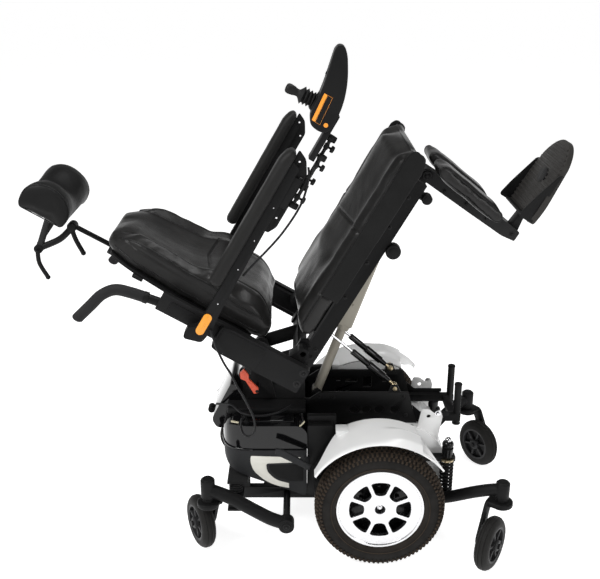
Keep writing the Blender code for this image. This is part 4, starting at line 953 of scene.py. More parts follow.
def base_details():
    """Everything else on the base keeps its CAD shape with eased edges."""
    refined("chassis_frame", STEEL, 0.0012, 2)
    refined("tilt_frame", STEEL, 0.0009, 2)
    for side in (-1, 1):
        refined(side_name("motor", side), STEEL, 0.0025, 3)
        refined(side_name("freewheel_lever", side), GREY, 0.0016, 3)
        fins = [rod((0.060 + 0.012 * i, side * 0.187, 0.172), (0.066 + 0.012 * i, side * 0.187, 0.172),
                    0.0352, None, 48,
                    0.0005) for i in range(8)]
        put(joined(*fins), side_name("motor_fins", side), "base", STEEL)
    lever = slab(rounded([(-0.1250, 0.4290), (-0.1120, 0.4330), (-0.1130, 0.4450), (-0.1400, 0.4750),
                          (-0.1390, 0.4860),
                          (-0.1520, 0.5040), (-0.1640, 0.4920), (-0.1620, 0.4760), (-0.1480, 0.4690)],
                          0.0018),
                 -0.1190, -0.1100, (), 0.0012, 3)
    put(lever, "red_lever", "lever_release", RED, BASE, ("release_lever",))
    wall = 0.0786
    heads = [bolt((x, -wall, z), (0, -1, 0), 0.0042, 0.003) for x, z in
             ((0.060, 0.400), (0.100, 0.398), (0.300, 0.400), (0.070, 0.335), (0.310, 0.340),
              (-0.130, 0.384))]
    heads += [bolt((x, wall, z), (0, 1, 0), 0.0042, 0.003) for x, z in
              ((0.060, 0.400), (0.240, 0.345), (0.300, 0.400), (0.070, 0.335), (0.310, 0.340))]
    put(joined(*heads), "channel_bolts", "base", STEEL)
    caps = [joined(rod((0.460, side * 0.061, 0.4280), (0.460, side * 0.061, 0.4340), 0.0118, 0.0105, 28,
                       0.0015),
                   rod((0.460, side * 0.061, 0.3035), (0.460, side * 0.061, 0.3085), 0.0118, None, 28,
                       0.0008))
            for side in (-1, 1)]
    put(joined(*caps), "rack_caps", "base", PLASTIC)
    flange = [slab(rounded([(0.340, 0.318), (0.352, 0.3165), (0.436, 0.3385), (0.436, 0.349), (0.352, 0.349),
                            (0.327, 0.372)], 0.003), *across(0.0735, 0.0765, side), (),
                            0.0006) for side in (-1, 1)]
    put(joined(*flange), "rack_gussets", "base", STEEL)
    for side in (-1, 1):
        foot = (0.275, side * 0.0775, 0.426)
        put(joined(rod(foot, (0.275, side * 0.0840, 0.426), 0.0062, None, 24, 0.0008),
                   rod((0.275, side * 0.0585, 0.426), foot, 0.0040)), side_name("strut_stud", side), "base",
                   BRASS)
        put(bolt((-0.110, side * 0.0960, 0.500), (0, side, 0), 0.0105, 0.004), side_name("tilt_bolt", side),
            "base", STEEL)


def linkages():
    """Tilt actuator with its ribbed housing, and the two gas struts."""
    refined("actuator_housing", BEIGE, 0.0035, 3)
    refined("actuator_rod", BEIGE, 0.0006, 2)
    head = SEAT @ Vector((0.368, 0, 0.039))
    foot = BASE @ Vector((0.054, 0, 0.382))
    along = (head - foot).normalized()
    collar = joined(rod(head - along * 0.262, head - along * 0.244, 0.0185, 0.0205, 40, 0.0015),
                    rod(head - along * 0.180, head - along * 0.176, 0.0236, None, 4, 0.0005))
    collar.data.transform(Matrix.Identity(4))
    put(collar, "actuator_collar", "actuator_upper", BEIGE, Matrix.Identity(4))
    for side in (-1, 1):
        start = BASE @ Vector((0.275, side * 0.055, 0.426))
        end = SEAT @ Vector((0.107, side * 0.055, 0.075))
        way = (end - start).normalized()
        word = "left" if side > 0 else "right"
        barrel = [rod(start + way * 0.040, start + way * 0.100, 0.0112, None, 36, 0.0012),
                  rod(start + way * 0.098, start + way * 0.162, 0.0090, None, 36, 0.0015),
                  rod(start + way * 0.020, start + way * 0.042, 0.0060, 0.0085, 28)]
        put(joined(*barrel), f"strut_barrel_{word}", f"strut_lower_{word}", GLOSS, Matrix.Identity(4),
            (f"strut_cylinder_{word}",))
        eye = joined(ball(start, 0.0088), rod(start, start + way * 0.022, 0.0045))
        put(eye, f"strut_eye_{word}", f"strut_lower_{word}", BRASS, Matrix.Identity(4))
        length = (end - start).length
        put(joined(rod(start + way * (length - 0.1505), end - way * 0.006, 0.0042, None, 28),
                   ball(end, 0.0070)),
            f"strut_ram_{word}", f"strut_upper_{word}", CHROME, Matrix.Identity(4), (f"strut_rod_{word}",))


# ---- Seating, drawn in the seat's own axes ----
def seat_structure():
    refined("seat_frame", STEEL, 0.0010, 2)
    knobs = []
    for x, z, radius in ((0.42, 0.036, 0.0200), (0.58, 0.036, 0.0138)):
        knobs.append(rod((x, -0.187, z), (x, -0.158, z), radius, None, 40, 0.003))
        knobs.append(rod((x, -0.1885, z), (x, -0.186, z), radius * 0.55, None, 24, 0.0008))
    put(joined(*knobs), "rail_knobs", "seat", PLASTIC, SEAT)
    heads = [bolt((x, side * 0.1782, z), (0, side, 0), 0.0042, 0.0026) for side in (-1, 1)
             for x, z in ((0.030, 0.088), (0.030, 0.068), (0.055, 0.088), (0.055, 0.068), (0.080, 0.088),
                          (0.080, 0.068), (0.250, 0.078), (0.360, 0.078), (0.470, 0.078), (0.560, 0.078))]
    put(joined(*heads), "rail_bolts", "seat", STEEL, SEAT)
    ends = [block((0.6045, side * 0.164 - 0.0145, 0.0525), (0.6085, side * 0.164 + 0.0145, 0.1005), 0.0015)
            for side in (-1, 1)]
    put(joined(*ends), "rail_ends", "seat", PLASTIC, SEAT)


def seat_top(x, y):
    """How far the seat cushion's top stands above its flat blank."""
    front = ease(x, 0.265, 0.325)
    height = front * (0.029 * bump(y, 0.0, 0.078) - 0.008 * bump(abs(y), 0.130, 0.030))
    height += (1 - front) * 0.020 * bump(y, 0.0, 0.140)
    height += 0.005 * bump(abs(y), 0.192, 0.020) + 0.004 * bump(x, 0.335, 0.030) * bump(y, 0.0, 0.12)
    height -= 0.022 * ease(x, 0.635, 0.690)
    height -= 0.012 * ease(-x, -0.155, -0.106)
    return height


def seat_cushion():
    low, high = Vector((0.108, -0.2245, 0.1050)), Vector((0.679, 0.2245, 0.1500))
    blank = block(low, high, 0.018, 5)
    cutter = blank.modifiers.new("Remesh", "REMESH")
    cutter.mode = "VOXEL"
    cutter.voxel_size = 0.0065
    blank = realise(blank)

    def contour(place):
        t = ease(place.z, low.z + 0.015, high.z)
        rough = 0.0020 * noise.noise(place * 14.0) + 0.0010 * noise.noise(place * 37.0)
        side = ease(abs(place.y), 0.205, 0.224)
        sag = 0.0030 * side * noise.noise(Vector((place.x * 9, place.y * 4, place.z * 30)))
        return Vector((0, math.copysign(sag, place.y), t * seat_top(place.x, place.y) + rough * t))

    made = cushion_sim(reshape(blank, contour), 0.010, 4.0, 0.0065)

    def seams(place):
        top = ease(place.z, 0.135, 0.150)
        line = 0.415 + 0.05 * abs(place.y)
        dip = 0.0035 * bump(place.x, line, 0.0035) * top
        side = ease(abs(place.y), 0.19, 0.222)
        dip_side = 0.0030 * bump(place.z, 0.146, 0.003) * side
        flap = 0.004 * side * bump(place.x, 0.236, 0.0035)
        return Vector((0, -math.copysign(dip_side + flap, place.y), -dip))

    reshape(made, seams)
    piping = []
    for side in (-1, 1):
        guide = [(0.120 + 0.550 * i / 90, side * 0.2235, 0.1480) for i in range(91)]
        piping.append(tube(nearest_surface(made, guide, 0.0006), 0.0022, 3))
    across_line = [(0.415 + 0.05 * abs(y), y, 0.30) for y in (-0.205 + 0.41 * i / 80 for i in range(81))]
    piping.append(tube(on_surface(made, across_line, (0, 0, -1), -0.0004), 0.0014, 2))
    front = [(0.6805, -0.205 + 0.41 * i / 60, 0.146) for i in range(61)]
    piping.append(tube(nearest_surface(made, front, 0.0004), 0.0020, 3))
    put(joined(*piping), "seat_piping", "seat", PIPING, SEAT, smooth=180)
    put(made, "seat_cover", "seat", VINYL, SEAT, ("seat_cushion",), 180)
    flap = []
    for side in (-1, 1):
        outline = rounded([(0.236, 0.097), (0.640, 0.092), (0.672, 0.102), (0.677, 0.136), (0.660, 0.1465),
                           (0.240, 0.1465)],
                          [0.004, 0.01, 0.012, 0.01, 0.006, 0.003])
        panel = slab(outline, *across(0.2225, 0.2262, side), (), 0.0012)
        grid = panel.modifiers.new("Remesh", "REMESH")
        grid.mode = "VOXEL"
        grid.voxel_size = 0.0022
        panel = realise(panel)
        reshape(panel, lambda p: Vector((0, math.copysign(0.0016 * noise.noise(Vector((p.x * 12, 3,
            p.z * 26))), p.y), 0)))
        flap.append(panel)
    put(joined(*flap), "seat_side_panels", "seat", SIDE_VINYL, SEAT, smooth=180)


def half_width(z):
    """Half the back cushion's width at a height: it narrows above the armrests."""
    return 0.2110 - 0.040 * ease(z, 0.40, 0.62) - 0.035 * ease(z, 0.60, 0.70)


def back_face(y, z):
    """How far the back cushion's front stands out from its flat blank, by place across and up the back."""
    across_it = abs(y) / half_width(z)
    height = 0.018 * ease(across_it, 0.62, 0.86) * ease(z, 0.30, 0.42) * (1 - ease(z, 0.60, 0.69))
    height += 0.026 * ease(-z, -0.47, -0.38) * ease(z, 0.215, 0.285) * (1 - 0.25 * ease(across_it, 0.7, 1.0))
    height -= 0.005 * bump(y, 0.0, 0.07) * ease(z, 0.34, 0.42)
    height -= 0.020 * ease(z, 0.630, 0.700) + 0.014 * ease(-z, -0.245, -0.213)
    return height


def back_cushion():
    low_x, high_x = 0.0425, 0.1000
    outline = [(-0.195, 0.196), (0.195, 0.196), (0.2115, 0.230), (0.2115, 0.42), (0.172, 0.62),
               (0.125, 0.699),
               (-0.125, 0.699), (-0.172, 0.62), (-0.2115, 0.42), (-0.2115, 0.230)]
    blank = upright(rounded(outline, [0.03, 0.03, 0.03, 0.08, 0.07, 0.06, 0.06, 0.07, 0.08, 0.03], 8), low_x,
                    high_x,
                    0.020, 5)
    cutter = blank.modifiers.new("Remesh", "REMESH")
    cutter.mode = "VOXEL"
    cutter.voxel_size = 0.0065
    blank = realise(blank)

    def contour(place):
        t = ease(place.x, low_x + 0.012, high_x)
        rough = 0.0018 * noise.noise(place * 12.0) + 0.0008 * noise.noise(place * 33.0)
        side = ease(abs(place.y) / half_width(place.z), 0.93, 0.99)
        folds = 0.0055 * side * noise.noise(Vector((place.x * 20 + place.z * 14, 7.0, place.z * 12)))
        return Vector((t * (back_face(place.y, place.z) + rough), math.copysign(folds, place.y), 0))

    made = cushion_sim(reshape(blank, contour), 0.010, 4.0, 0.0065)

    def seams(place):
        front = ease(place.x, 0.085, 0.10)
        across_it = abs(place.y) / half_width(place.z)
        dip = 0.0038 * bump(place.z, 0.430 - 0.10 * abs(place.y),
                            0.0035) * front * (1 - ease(across_it, 0.66, 0.70))
        dip += 0.0034 * bump(across_it, 0.66, 0.016) * front
        side = ease(across_it, 0.92, 1.0)
        ditch = 0.003 * side * bump(place.x, 0.092, 0.003)
        return Vector((-dip, -math.copysign(ditch, place.y), 0))

    reshape(made, seams)
    heights = [0.232 + 0.440 * i / 90 for i in range(91)]
    piping = []
    for side in (-1, 1):
        guide = [(0.100 + 0.012 * ease(z, 0.3, 0.42) * (1 - ease(z, 0.6, 0.68)), side * half_width(z),
                  z) for z in heights]
        piping.append(tube(nearest_surface(made, guide, 0.0008), 0.0025, 3))
        inner = [(0.3, side * half_width(z) * 0.66, z) for z in heights]
        piping.append(tube(on_surface(made, inner, (-1, 0, 0), -0.0004), 0.0013, 2))
        lower = [(0.058, side * half_width(z), z) for z in heights]
        piping.append(tube(nearest_surface(made, lower, 0.0004), 0.0018, 3))
    cross = [(0.3, y, 0.430 - 0.10 * abs(y)) for y in (-0.136 + 0.272 * i / 80 for i in range(81))]
    piping.append(tube(on_surface(made, cross, (-1, 0, 0), -0.0004), 0.0014, 2))
    put(joined(*piping), "back_piping", "backrest", PIPING, SEAT, smooth=180)
    put(made, "back_cover", "backrest", VINYL, SEAT, ("back_cushion",), 180)


def back_structure():
    """Shell, posts, textured side covers, push handles and grips."""
    shell = [(-0.205, 0.240), (0.205, 0.240), (0.215, 0.42), (0.180, 0.60), (0.150, 0.668), (-0.150, 0.668),
             (-0.180, 0.60), (-0.215, 0.42)]
    pieces = [upright(rounded(shell, 0.03), 0.0335, 0.0405, 0.002, 3)]
    for side in (-1, 1):
        low, high = across(0.2255, 0.2470, side)
        pieces.append(block((0.0, low, 0.080), (0.050, high, 0.500), 0.0025, 3))
        lug = rounded([(0.030, 0.120), (0.030, 0.092), (0.060, 0.086),
                       *ring_points(0.072, 0.103, 0.016, 12, -90, 90), (0.048, 0.132)], 0.003)
        pieces.append(slab(lug, *across(0.1860, 0.2300, side), [ring_points(0.072, 0.103, 0.0080, 20)],
                           0.001))
        pieces.append(rod((0.020, side * 0.240, 0.378), (0.020, side * 0.2910, 0.378), 0.0080, None, 28))
    pieces.append(block((-0.013, -0.028, 0.600), (0.036, 0.028, 0.680), 0.004, 3))
    pieces.append(block((0.024, -0.190, 0.300), (0.0340, 0.190, 0.330), 0.003))
    pieces.append(block((0.024, -0.190, 0.560), (0.0340, 0.190, 0.590), 0.003))
    put(joined(*pieces), "back_structure", "backrest", STEEL, SEAT, ("back_frame",))
    heads = []
    for side in (-1, 1):
        outline = rounded([(-0.018, 0.072), (0.056, 0.072), (0.056, 0.300), (0.050, 0.330), (-0.012, 0.330),
                           (-0.018, 0.300)], [0.006, 0.006, 0.01, 0.01, 0.01, 0.01])
        cover = slab(outline, *across(0.2455, 0.2700, side), (), 0.0035, 4)
        rib = slab(rounded([(-0.012, 0.200), (0.050, 0.200), (0.050, 0.3235), (-0.012, 0.3235)], 0.005),
                   *across(0.2695, 0.2712, side), (), 0.0007)
        put(joined(cover, rib), side_name("back_side_cover", side), "backrest", TEXTURED, SEAT)
        for x, z in ((0.041, 0.084), (0.006, 0.084)):
            heads.append(bolt((x, side * 0.2702, z), (0, side, 0), 0.0062, 0.0030))
            heads.append(rod((x, side * 0.2700, z), (x, side * 0.2708, z), 0.0105, None, 28))
        path = smooth_path([(x, side * 0.2305, z) for x, z in ((0.020, 0.470), (0.012, 0.520),
                                                               (0.003, 0.570),
                                                               (-0.010, 0.610), (-0.040, 0.634),
                                                               (-0.080, 0.646),
                                                               (-0.128, 0.660))], 8)
        cut_at = len(path) // 5
        put(tube(path[:cut_at + 2], 0.0125), side_name("handle_tube", side), "backrest", STEEL, SEAT)
        sleeve = tube(path[cut_at:], 0.0150, 6)
        tip = ball(path[-1], 0.0150, (0.6, 1.0, 1.0))
        put(joined(sleeve, tip), side_name("push_grip", side), "backrest", GRIP_FOAM, SEAT, smooth=60)
        put(rod(path[cut_at], path[cut_at + 2], 0.0158, None, 32, 0.0012), side_name("grip_collar", side),
            "backrest",
            PLASTIC, SEAT)
    put(joined(*heads), "back_bolts", "backrest", STEEL, SEAT)
    skirt = [slab(rounded([(0.010, 0.330), (0.040, 0.330), (0.040, 0.470), (0.010, 0.470)], 0.004),
                  *across(0.2468, 0.2500, side), (), 0.0008) for side in (-1, 1)]
    put(joined(*skirt), "post_caps", "backrest", PLASTIC, SEAT)


def armrest(side):
    body = side_name("armrest", side)
    low, high = across(0.2635, 0.2920, side)
    outline = rounded([(-0.016, 0.402), (-0.004, 0.357), (0.040, 0.350), (0.100, 0.3555), (0.508, 0.3655),
                       (0.516, 0.3865), (0.030, 0.3865), (0.014, 0.4080), (-0.006, 0.4080)],
                      [0.008, 0.01, 0.02, 0.03, 0.006, 0.004, 0.01, 0.006, 0.008])
    beam = slab(outline, low, high, [ring_points(0.020, 0.378, 0.0087, 24)], 0.0022, 3)
    pieces = [beam]
    if side < 0:
        plate = block((0.404, -0.290, 0.3460), (0.486, -0.243, 0.3690), 0.0015)
        pieces.append(plate)
        for x, y in ((0.420, -0.272), (0.468, -0.254)):
            pieces.append(rod((x, y, 0.350), (x, y, 0.3225), 0.0040, None, 20))
            pieces.append(rod((x, y, 0.3265), (x, y, 0.3205), 0.0085, 0.0078, 24, 0.001))
    drop = slab(rounded([(0.330, 0.352), (0.352, 0.3405), (0.500, 0.3405), (0.532, 0.3600), (0.545, 0.3865),
                         (0.330, 0.3865)], [0.003, 0.006, 0.006, 0.008, 0.006, 0.003]),
                *across(0.2700, 0.2760, side), [ring_points(x, z, 0.0028, 14) for x, z in
                                                ((0.372, 0.352), (0.435, 0.352), (0.520, 0.372),
                                                 (0.487, 0.3500))],
                0.0008)
    pieces.append(drop)
    put(joined(*pieces), side_name("armrest_beam", side), body, PLASTIC, SEAT,
        (side_name("armrest_frame", side),))
    pad_low, pad_high = across(0.248, 0.306, side)
    pad = block((0.149, pad_low, 0.3868), (0.540, pad_high, 0.4210), 0.0135, 6)
    finer = pad.modifiers.new("Remesh", "REMESH")
    finer.mode = "VOXEL"
    finer.voxel_size = 0.003
    pad = realise(pad)
    middle = side * 0.277

    def crown(place):
        t = ease(place.z, 0.392, 0.421)
        edge = (place.y - middle) / 0.029
        fall = 0.0035 * edge * edge + 0.009 * ease(place.x, 0.500, 0.545)
        return Vector((0, 0, -t * fall + 0.0006 * noise.noise(place * 30)))

    relaxed = reshape(pad, crown).modifiers.new("Smooth", "SMOOTH")
    relaxed.iterations = 6
    pad = put(realise(pad), side_name("armrest_foam", side), body, PAD_FOAM, SEAT,
              (side_name("armrest_pad", side),), 180)
    marker = slab([*ring_points(0.0640, 0.3760, 0.0112, 14, -90, 90),
                   *ring_points(0.0240, 0.3760, 0.0112, 14, 90, 270)],
                  *across(0.2920, 0.2940, side), (), 0.0008, 3)
    put(marker, side_name("amber_marker", side), body, AMBER, SEAT)
    holes = [rod((x, side * 0.2918, z), (x, side * 0.2924, z), r, None, 20) for x, z, r in
             ((0.110, 0.371, 0.0016), (0.215, 0.371, 0.0014), (0.300, 0.372, 0.0014),
              (0.395, 0.372, 0.0014))]
    put(joined(*holes), side_name("armrest_screws", side), body, CHROME, SEAT)


def joystick():
    """Swing-away links with hand knobs, tapered pod, bellows boot and knob."""
    link_y = {"joystick_link_outer": -0.272, "joystick_link_inner": -0.254}
    start_x = {"joystick_link_outer": 0.420, "joystick_link_inner": 0.468}
    bodies = {"joystick_link_outer": "outer_link", "joystick_link_inner": "inner_link"}
    for node, y in link_y.items():
        x0 = start_x[node]
        x1 = x0 + 0.135
        pieces = [tube([(x0 + 0.006, y, 0.3335), (x1 - 0.006, y, 0.3335)], 0.0046)]
        for x in (x0, x1):
            eye = boolean("DIFFERENCE", rod((x, y, 0.3265), (x, y, 0.3410), 0.0088, None, 32, 0.001),
                          rod((x, y, 0.3200), (x, y, 0.3500), 0.0046, None, 20))
            pieces.append(eye)
        put(joined(*pieces), f"{node}_rod", bodies[node], STEEL, SEAT, (node,))
        knobs = []
        for x in (x0 + 0.022, x1 - 0.022):
            knobs.append(rod((x, y, 0.3290), (x, y, 0.3200), 0.0030, None, 16))
            knob = rod((x, y, 0.3215), (x, y, 0.3130), 0.0092, 0.0080, 10, 0.0014)
            knobs.append(knob)
            knobs.append(block((x - 0.007, y - 0.0065, 0.3280), (x + 0.007, y + 0.0065, 0.3395), 0.0015))
        put(joined(*knobs), f"{node}_knobs", bodies[node], PLASTIC, SEAT)
    outline = [(0.612, 0.378), (0.616, 0.3610), (0.632, 0.3525), (0.690, 0.3560), (0.745, 0.3760),
               (0.790, 0.4040),
               (0.8045, 0.4200), (0.8010, 0.4330), (0.788, 0.4365), (0.700, 0.4170), (0.636, 0.4125),
               (0.616, 0.4010)]
    shell = slab(rounded(outline, [0.01, 0.012, 0.02, 0.03, 0.04, 0.03, 0.01, 0.008, 0.01, 0.04, 0.014,
                                   0.012], 6),
                 -0.332, -0.268)

    def taper(place):
        narrow = 1 - 0.30 * ease(place.x, 0.70, 0.80) - 0.06 * ease(-place.x, -0.640, -0.612)
        return Vector((0, (place.y + 0.300) * (narrow - 1), 0))

    finer = shell.modifiers.new("Remesh", "REMESH")
    finer.mode = "VOXEL"
    finer.voxel_size = 0.0022
    shell = reshape(bevelled(shell, 0.009, 5, 50), taper)
    plate = block((0.538, -0.286, 0.3445), (0.660, -0.243, 0.3590), 0.0015)
    pins = []
    for x, y in ((0.555, -0.272), (0.603, -0.254)):
        pins.append(rod((x, y, 0.350), (x, y, 0.3225), 0.0040, None, 20))
        pins.append(rod((x, y, 0.3262), (x, y, 0.3205), 0.0085, 0.0078, 24, 0.001))
    put(joined(shell, plate, *pins), "joystick_shell", "pod", PLASTIC, SEAT, ("joystick_pod",))
    side_y = -0.3321

    def label(points, depth, name, look, radius=0.001):
        piece = slab(rounded(points, radius), side_y - depth, side_y + 0.0006, (), 0.0001, 1)
        put(piece, name, "pod", look, SEAT)

    label([(0.628, 0.4030), (0.694, 0.4085), (0.694, 0.4005), (0.628, 0.3950)], 0.0004, "pod_orange_strip",
          ORANGE)
    label([(0.628, 0.3940), (0.694, 0.3995), (0.694, 0.3870), (0.628, 0.3815)], 0.0004, "pod_dark_panel",
          TEXTURED)
    frame_line = [(0.628, side_y - 0.0003, 0.3940), (0.694, side_y - 0.0003, 0.3995),
                  (0.694, side_y - 0.0003, 0.3870),
                  (0.628, side_y - 0.0003, 0.3815)]
    put(tube(frame_line, 0.00035, 1, True), "pod_panel_outline", "pod", ORANGE, SEAT)
    badge = slab(ring_points(0.6335, 0.3690, 0.0052, 28), side_y - 0.0005, side_y + 0.0006, (), 0.0002, 1)
    put(badge, "pod_round_badge", "pod", ORANGE, SEAT)
    centre = Vector((0.665, -0.300, 0.403))
    lip = turned([(-0.0015, 0.0235), (0.0035, 0.0225), (0.0035, 0.0205), (-0.0015, 0.0205)], (0, 0, 0), 48)
    lip.data.transform(Matrix.Translation(centre + Vector((0, 0,
                                                           0.0118))) @ Matrix.Rotation(math.radians(90), 4,
                                                               "X"))
    put(lip, "boot_collar", "pod", PLASTIC, SEAT)
    paint("joystick_gimbal", CHROME)
    profile = [(0.009, 0.004), (0.009, 0.0165), (0.0145, 0.0150), (0.0185, 0.0200), (0.0225, 0.0142),
               (0.0270, 0.0200),
               (0.0310, 0.0142), (0.0355, 0.0205), (0.0400, 0.0150), (0.0440, 0.0212), (0.0510, 0.0120),
               (0.0545, 0.0088),
               (0.0600, 0.0088), (0.0660, 0.0106), (0.0760, 0.0120), (0.0820, 0.0112), (0.0855, 0.0080),
               (0.0865, 0.0020)]
    boot = turned([(-h, r) for h, r in profile], (0, 0, 0), 56, False)
    boot.data.transform(Matrix.Translation(centre) @ Matrix.Rotation(math.radians(-4), 4, "Y")
                        @ Matrix.Rotation(math.radians(-90), 4, "X") @ Matrix.Diagonal((1, 1, 1, 1)))
    put(boot, "joystick_boot", "stick", BOOT, SEAT, ("joystick_stick",), 45)
    refined("power_button", GREY, 0.0008, 3)


def headrest():
    refined("headrest_mast", STEEL, 0.0008, 2)
    arc = smooth_path([(0.001, 0, 0.795), (-0.020, 0, 0.799), (-0.055, 0, 0.812), (-0.104, 0, 0.8485)], 8)
    link = [tube(arc, 0.0092), rod((0.001, -0.0135, 0.795), (0.001, 0.0135, 0.795), 0.0135, None, 36,
                                   0.0015),
            rod((-0.104, -0.0100, 0.8485), (-0.104, 0.0100, 0.8485), 0.0115, None, 36, 0.0015)]
    put(joined(*link), "headrest_link_arm", "head_link", STEEL, SEAT, ("headrest_link",))
    levers = [tube(smooth_path([(0.001, -0.0160, 0.795), (-0.024, -0.0160, 0.770), (-0.049, -0.0160, 0.735)],
                               6), 0.0066),
              ball((-0.049, -0.016, 0.735), 0.0072)]
    put(joined(*levers), "mast_lever", "head_mast", PLASTIC, SEAT)
    levers = [tube(smooth_path([(-0.104, -0.0180, 0.8485), (-0.136, -0.0180, 0.828),
                                (-0.162, -0.0180, 0.790)], 6), 0.0062),
              ball((-0.162, -0.018, 0.790), 0.0068)]
    put(joined(*levers), "link_lever", "head_link", PLASTIC, SEAT)
    outline = rounded([(0.024, 0.806), (0.024, 0.934), (0.052, 0.9420), (0.088, 0.936), (0.112, 0.906),
                       (0.116, 0.868),
                       (0.104, 0.828), (0.078, 0.804), (0.045, 0.8000)],
                       [0.012, 0.012, 0.03, 0.03, 0.03, 0.03, 0.03, 0.03,
                                                                        0.02])
    blank = slab(outline, -0.1240, 0.1240, (), 0.012, 4)
    finer = blank.modifiers.new("Remesh", "REMESH")
    finer.mode = "VOXEL"
    finer.voxel_size = 0.0045
    blank = realise(blank)

    def cup(place):
        deep = ease(place.x, 0.030, 0.105)
        return Vector((-0.030 * deep * bump(place.y, 0.0, 0.060) - 0.004 * deep * bump(abs(place.y), 0.124,
            0.012), 0, 0))

    made = cushion_sim(reshape(blank, cup), 0.005, 4.0, 0.0045)
    reshape(made, lambda p: Vector((0.0008 * noise.noise(p * 24), 0, 0)))
    seams = []
    for y in (-0.1205, 0.1205):
        loop = [(x, y, z) for x, z in outline]
        seams.append(tube(nearest_surface(made, loop, 0.0004), 0.0014, 3, True))
    put(joined(*seams), "headrest_piping", "head_pad", PIPING, SEAT, smooth=180)
    put(made, "headrest_cover", "head_pad", SIDE_VINYL, SEAT, ("headrest_pad",), 180)
    upper = Vector((-0.104, 0, 0.8485))
    stem = [rod(upper - Vector((0, 0.012, 0)), upper + Vector((0, 0.012, 0)), 0.0125, None, 36, 0.001),
            rod(upper + Vector((0.008, 0, 0.001)), (0.030, 0, 0.869), 0.0095, None, 28),
            tube(smooth_path([(-0.094, 0, 0.855), (-0.050, 0, 0.850), (-0.010, 0, 0.846), (0.028, 0, 0.842)],
                             6), 0.0060),
            rod((0.018, 0, 0.867), (0.026, 0, 0.8685), 0.020, None, 36, 0.0015)]
    put(joined(*stem), "headrest_stem", "head_pad", STEEL, SEAT)


def leg_rest():
    outline = rounded([*ring_points(0.614, 0.035, 0.0170, 14, 0.0, 180.0), (0.583, -0.120), (0.574, -0.232),
                       (0.578, -0.272), (0.606, -0.272), (0.612, -0.232), (0.6235, -0.120)], 0.004)
    beam = slab(outline, -0.0345, 0.0345, (), 0.0030, 3)
    slot_cut = block((0.560, -0.0185, -0.300), (0.640, 0.0185, -0.2360))
    pieces = [boolean("DIFFERENCE", beam, slot_cut),
              rod((0.614, -0.0475, 0.035), (0.614, 0.0475, 0.035), 0.0070, None, 28),
              rod((0.592, -0.0300, -0.255), (0.592, 0.0300, -0.255), 0.0060, None, 24),
              block((0.6225, -0.014, -0.150), (0.6290, 0.014, 0.000), 0.002),
              block((0.6180, -0.040, -0.090), (0.6300, 0.040, -0.020), 0.003)]
    put(joined(*pieces), "leg_beam_look", "leg_rest", STEEL, SEAT, ("leg_beam",))
    heads = [bolt((0.614, side * 0.0475, 0.035), (0, side, 0), 0.0085, 0.003) for side in (-1, 1)]
    heads += [bolt((x, side * 0.0347, z), (0, side, 0), 0.0045, 0.0026) for side in (-1, 1)
              for x, z in ((0.600, -0.030), (0.600, -0.100), (0.594, -0.170), (0.592, -0.255))]
    put(joined(*heads), "leg_bolts", "leg_rest", STEEL, SEAT)
    pad_outline = rounded([(0.6405, 0.030), (0.648, 0.041), (0.662, 0.042), (0.671, 0.034), (0.640, -0.165),
                           (0.630, -0.173), (0.617, -0.172), (0.610, -0.160)], 0.008, 4)
    for side in (-1, 1):
        blank = slab(pad_outline, *across(0.0375, 0.1470, side), (), 0.010, 4)
        made = cushion_sim(blank, 0.005, 4.0, 0.0045)
        reshape(made, lambda p: Vector((0.0016 * noise.noise(p * 22), 0, 0)))
        guide = [(x, side * 0.1430, z) for x, z in pad_outline]
        seam = tube(nearest_surface(made, guide, 0.0004), 0.0016, 3, True)
        put(seam, side_name("calf_piping", side), "leg_rest", PIPING, SEAT, smooth=180)
        stands = ("calf_pads",) if side < 0 else ()
        put(made, side_name("calf_cover", side), "leg_rest", VINYL, SEAT, stands, 180)
        tab = [block((0.6280, min(side * 0.034, side * 0.075), -0.105),
                     (0.6330, max(side * 0.034, side * 0.075), -0.005),
                     0.0012),
               rod((0.6240, side * 0.060, -0.030), (0.6290, side * 0.060, -0.030), 0.0075, None, 28, 0.001),
               rod((0.6240, side * 0.060, -0.085), (0.6290, side * 0.060, -0.085), 0.0075, None, 28, 0.001)]
        put(joined(*tab), side_name("calf_bracket", side), "leg_rest", STEEL, SEAT)


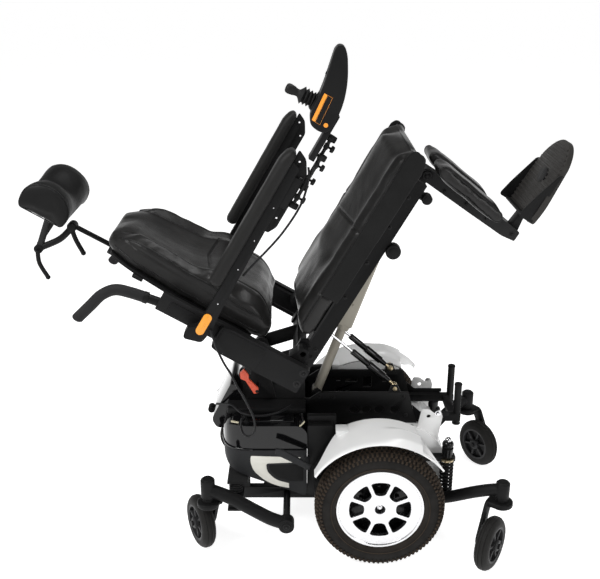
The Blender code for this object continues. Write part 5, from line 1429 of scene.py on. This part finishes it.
def footplate():
    toe = ring_points(0.762, 0.0, 0.1130, 30, -62.0, 62.0)
    sole = rounded([(0.650, -0.116), (0.700, -0.126), *toe, (0.700, 0.126), (0.650, 0.116)],
                   [0.014, 0.03, *[0.0] * 30, 0.03, 0.014])
    plate = flat(sole, -0.2600, -0.2445, (), 0.0035, 4)
    ribs = []
    x = 0.668
    while x < 0.862:
        half = 0.1165 if x < 0.72 else math.sqrt(max(0.113 ** 2 - max(x - 0.762, 0) ** 2, 0)) - 0.006
        if x >= 0.72:
            half = min(half, 0.110)
        ribs.append(block((x - 0.0022, -half, -0.2450), (x + 0.0022, half, -0.2420), 0.0009, 2))
        x += 0.0125
    tongue = slab(rounded([(0.664, -0.2470), (0.664, -0.2590), (0.600, -0.2700), (0.581, -0.2660),
                           (0.580, -0.2480),
                           (0.597, -0.2420)], 0.004), -0.0180, 0.0180,
                           [ring_points(0.592, -0.255, 0.0066, 20)], 0.0012)
    walls = [slab(rounded([(0.653, -0.252), (0.798, -0.250), (0.792, -0.2420), (0.700, -0.2180),
                           (0.660, -0.2110),
                           (0.653, -0.2140)], [0.002, 0.004, 0.006, 0.02, 0.006, 0.004]),
                  *across(0.1128, 0.1182, side), (), 0.0012, 3) for side in (-1, 1)]
    heel = block((0.652, -0.108, -0.2480), (0.660, 0.108, -0.2290), 0.003, 3)
    under = [block((0.668, y, -0.2645), (0.820, y + 0.006, -0.2590), 0.001) for y in (-0.060, -0.003, 0.054)]
    put(joined(plate, *ribs), "foot_sole", "foot_support", SOLE, SEAT)
    put(joined(tongue, heel, *walls, *under), "foot_platform", "foot_support", TEXTURED, SEAT,
        ("footplate",))
    badge = flat([(0.768 + 0.020 * math.cos(2 * math.pi * i / 40), 0.032 * math.sin(2 * math.pi * i / 40))
                  for i in range(40)], -0.2448, -0.2418, (), 0.0006)
    put(badge, "foot_oval_pad", "foot_support", PLASTIC, SEAT)


# ---- Studio ----
def studio():
    shape = bmesh.new()
    bmesh.ops.create_grid(shape, x_segments=1, y_segments=1, size=40.0)
    floor = from_bmesh(shape)
    floor.name = "studio_floor"
    paper = material("studio_floor", (0.74, 0.74, 0.74), 0.75, 0.0, (), vary=0.0, specular=0.1)
    paper.node_tree.nodes["Principled BSDF"].inputs["Emission Color"].default_value = (1.0, 1.0, 1.0, 1.0)
    paper.node_tree.nodes["Principled BSDF"].inputs["Emission Strength"].default_value = 0.86
    floor.data.materials.append(paper)
    world = bpy.data.worlds.new("studio")
    world.use_nodes = True
    tree = world.node_tree
    sky = tree.nodes["Background"]
    sky.inputs["Color"].default_value = (1.0, 1.0, 1.0, 1.0)
    heading = add(tree, "ShaderNodeTexCoord").outputs["Generated"]
    split = add(tree, "ShaderNodeSeparateXYZ")
    tree.links.new(heading, split.inputs[0])
    fall = add(tree, "ShaderNodeMapRange")
    fall.inputs["From Min"].default_value = 0.03
    fall.inputs["From Max"].default_value = 0.32
    fall.inputs["To Min"].default_value = 1.0
    fall.inputs["To Max"].default_value = 0.14
    tree.links.new(split.outputs["Z"], fall.inputs["Value"])
    tree.links.new(fall.outputs["Result"], sky.inputs["Strength"])
    bpy.context.scene.world = world
    for name, place, target, size, power in (("key", (-1.9, -1.5, 3.0), (0.0, 0.0, 0.7), 1.5, 92.0),
                                             ("top", (0.5, 0.3, 3.7), (0.0, 0.0, 0.6), 2.2, 62.0),
                                             ("side", (2.5, -2.4, 1.9), (0.1, 0.0, 0.6), 1.3, 30.0)):
        lamp = bpy.data.objects.new(name, bpy.data.lights.new(name, "AREA"))
        lamp.data.shape = "DISK"
        lamp.data.size = size
        lamp.data.energy = power
        lamp.location = place
        lamp.rotation_euler = (Vector(target) - Vector(place)).to_track_quat("-Z", "Y").to_euler()
        bpy.context.scene.collection.objects.link(lamp)
    bpy.context.scene.view_settings.view_transform = "Standard"


def build():
    cords()
    body_shells()
    nose_cover()
    base_details()
    linkages()
    for side in (-1, 1):
        fender(side)
        wheels(side)
        suspension(side)
        casters("front", side)
        casters("rear", side)
    seat_structure()
    seat_cushion()
    back_structure()
    back_cushion()
    for side in (-1, 1):
        armrest(side)
    joystick()
    headrest()
    leg_rest()
    footplate()
    studio()


build()
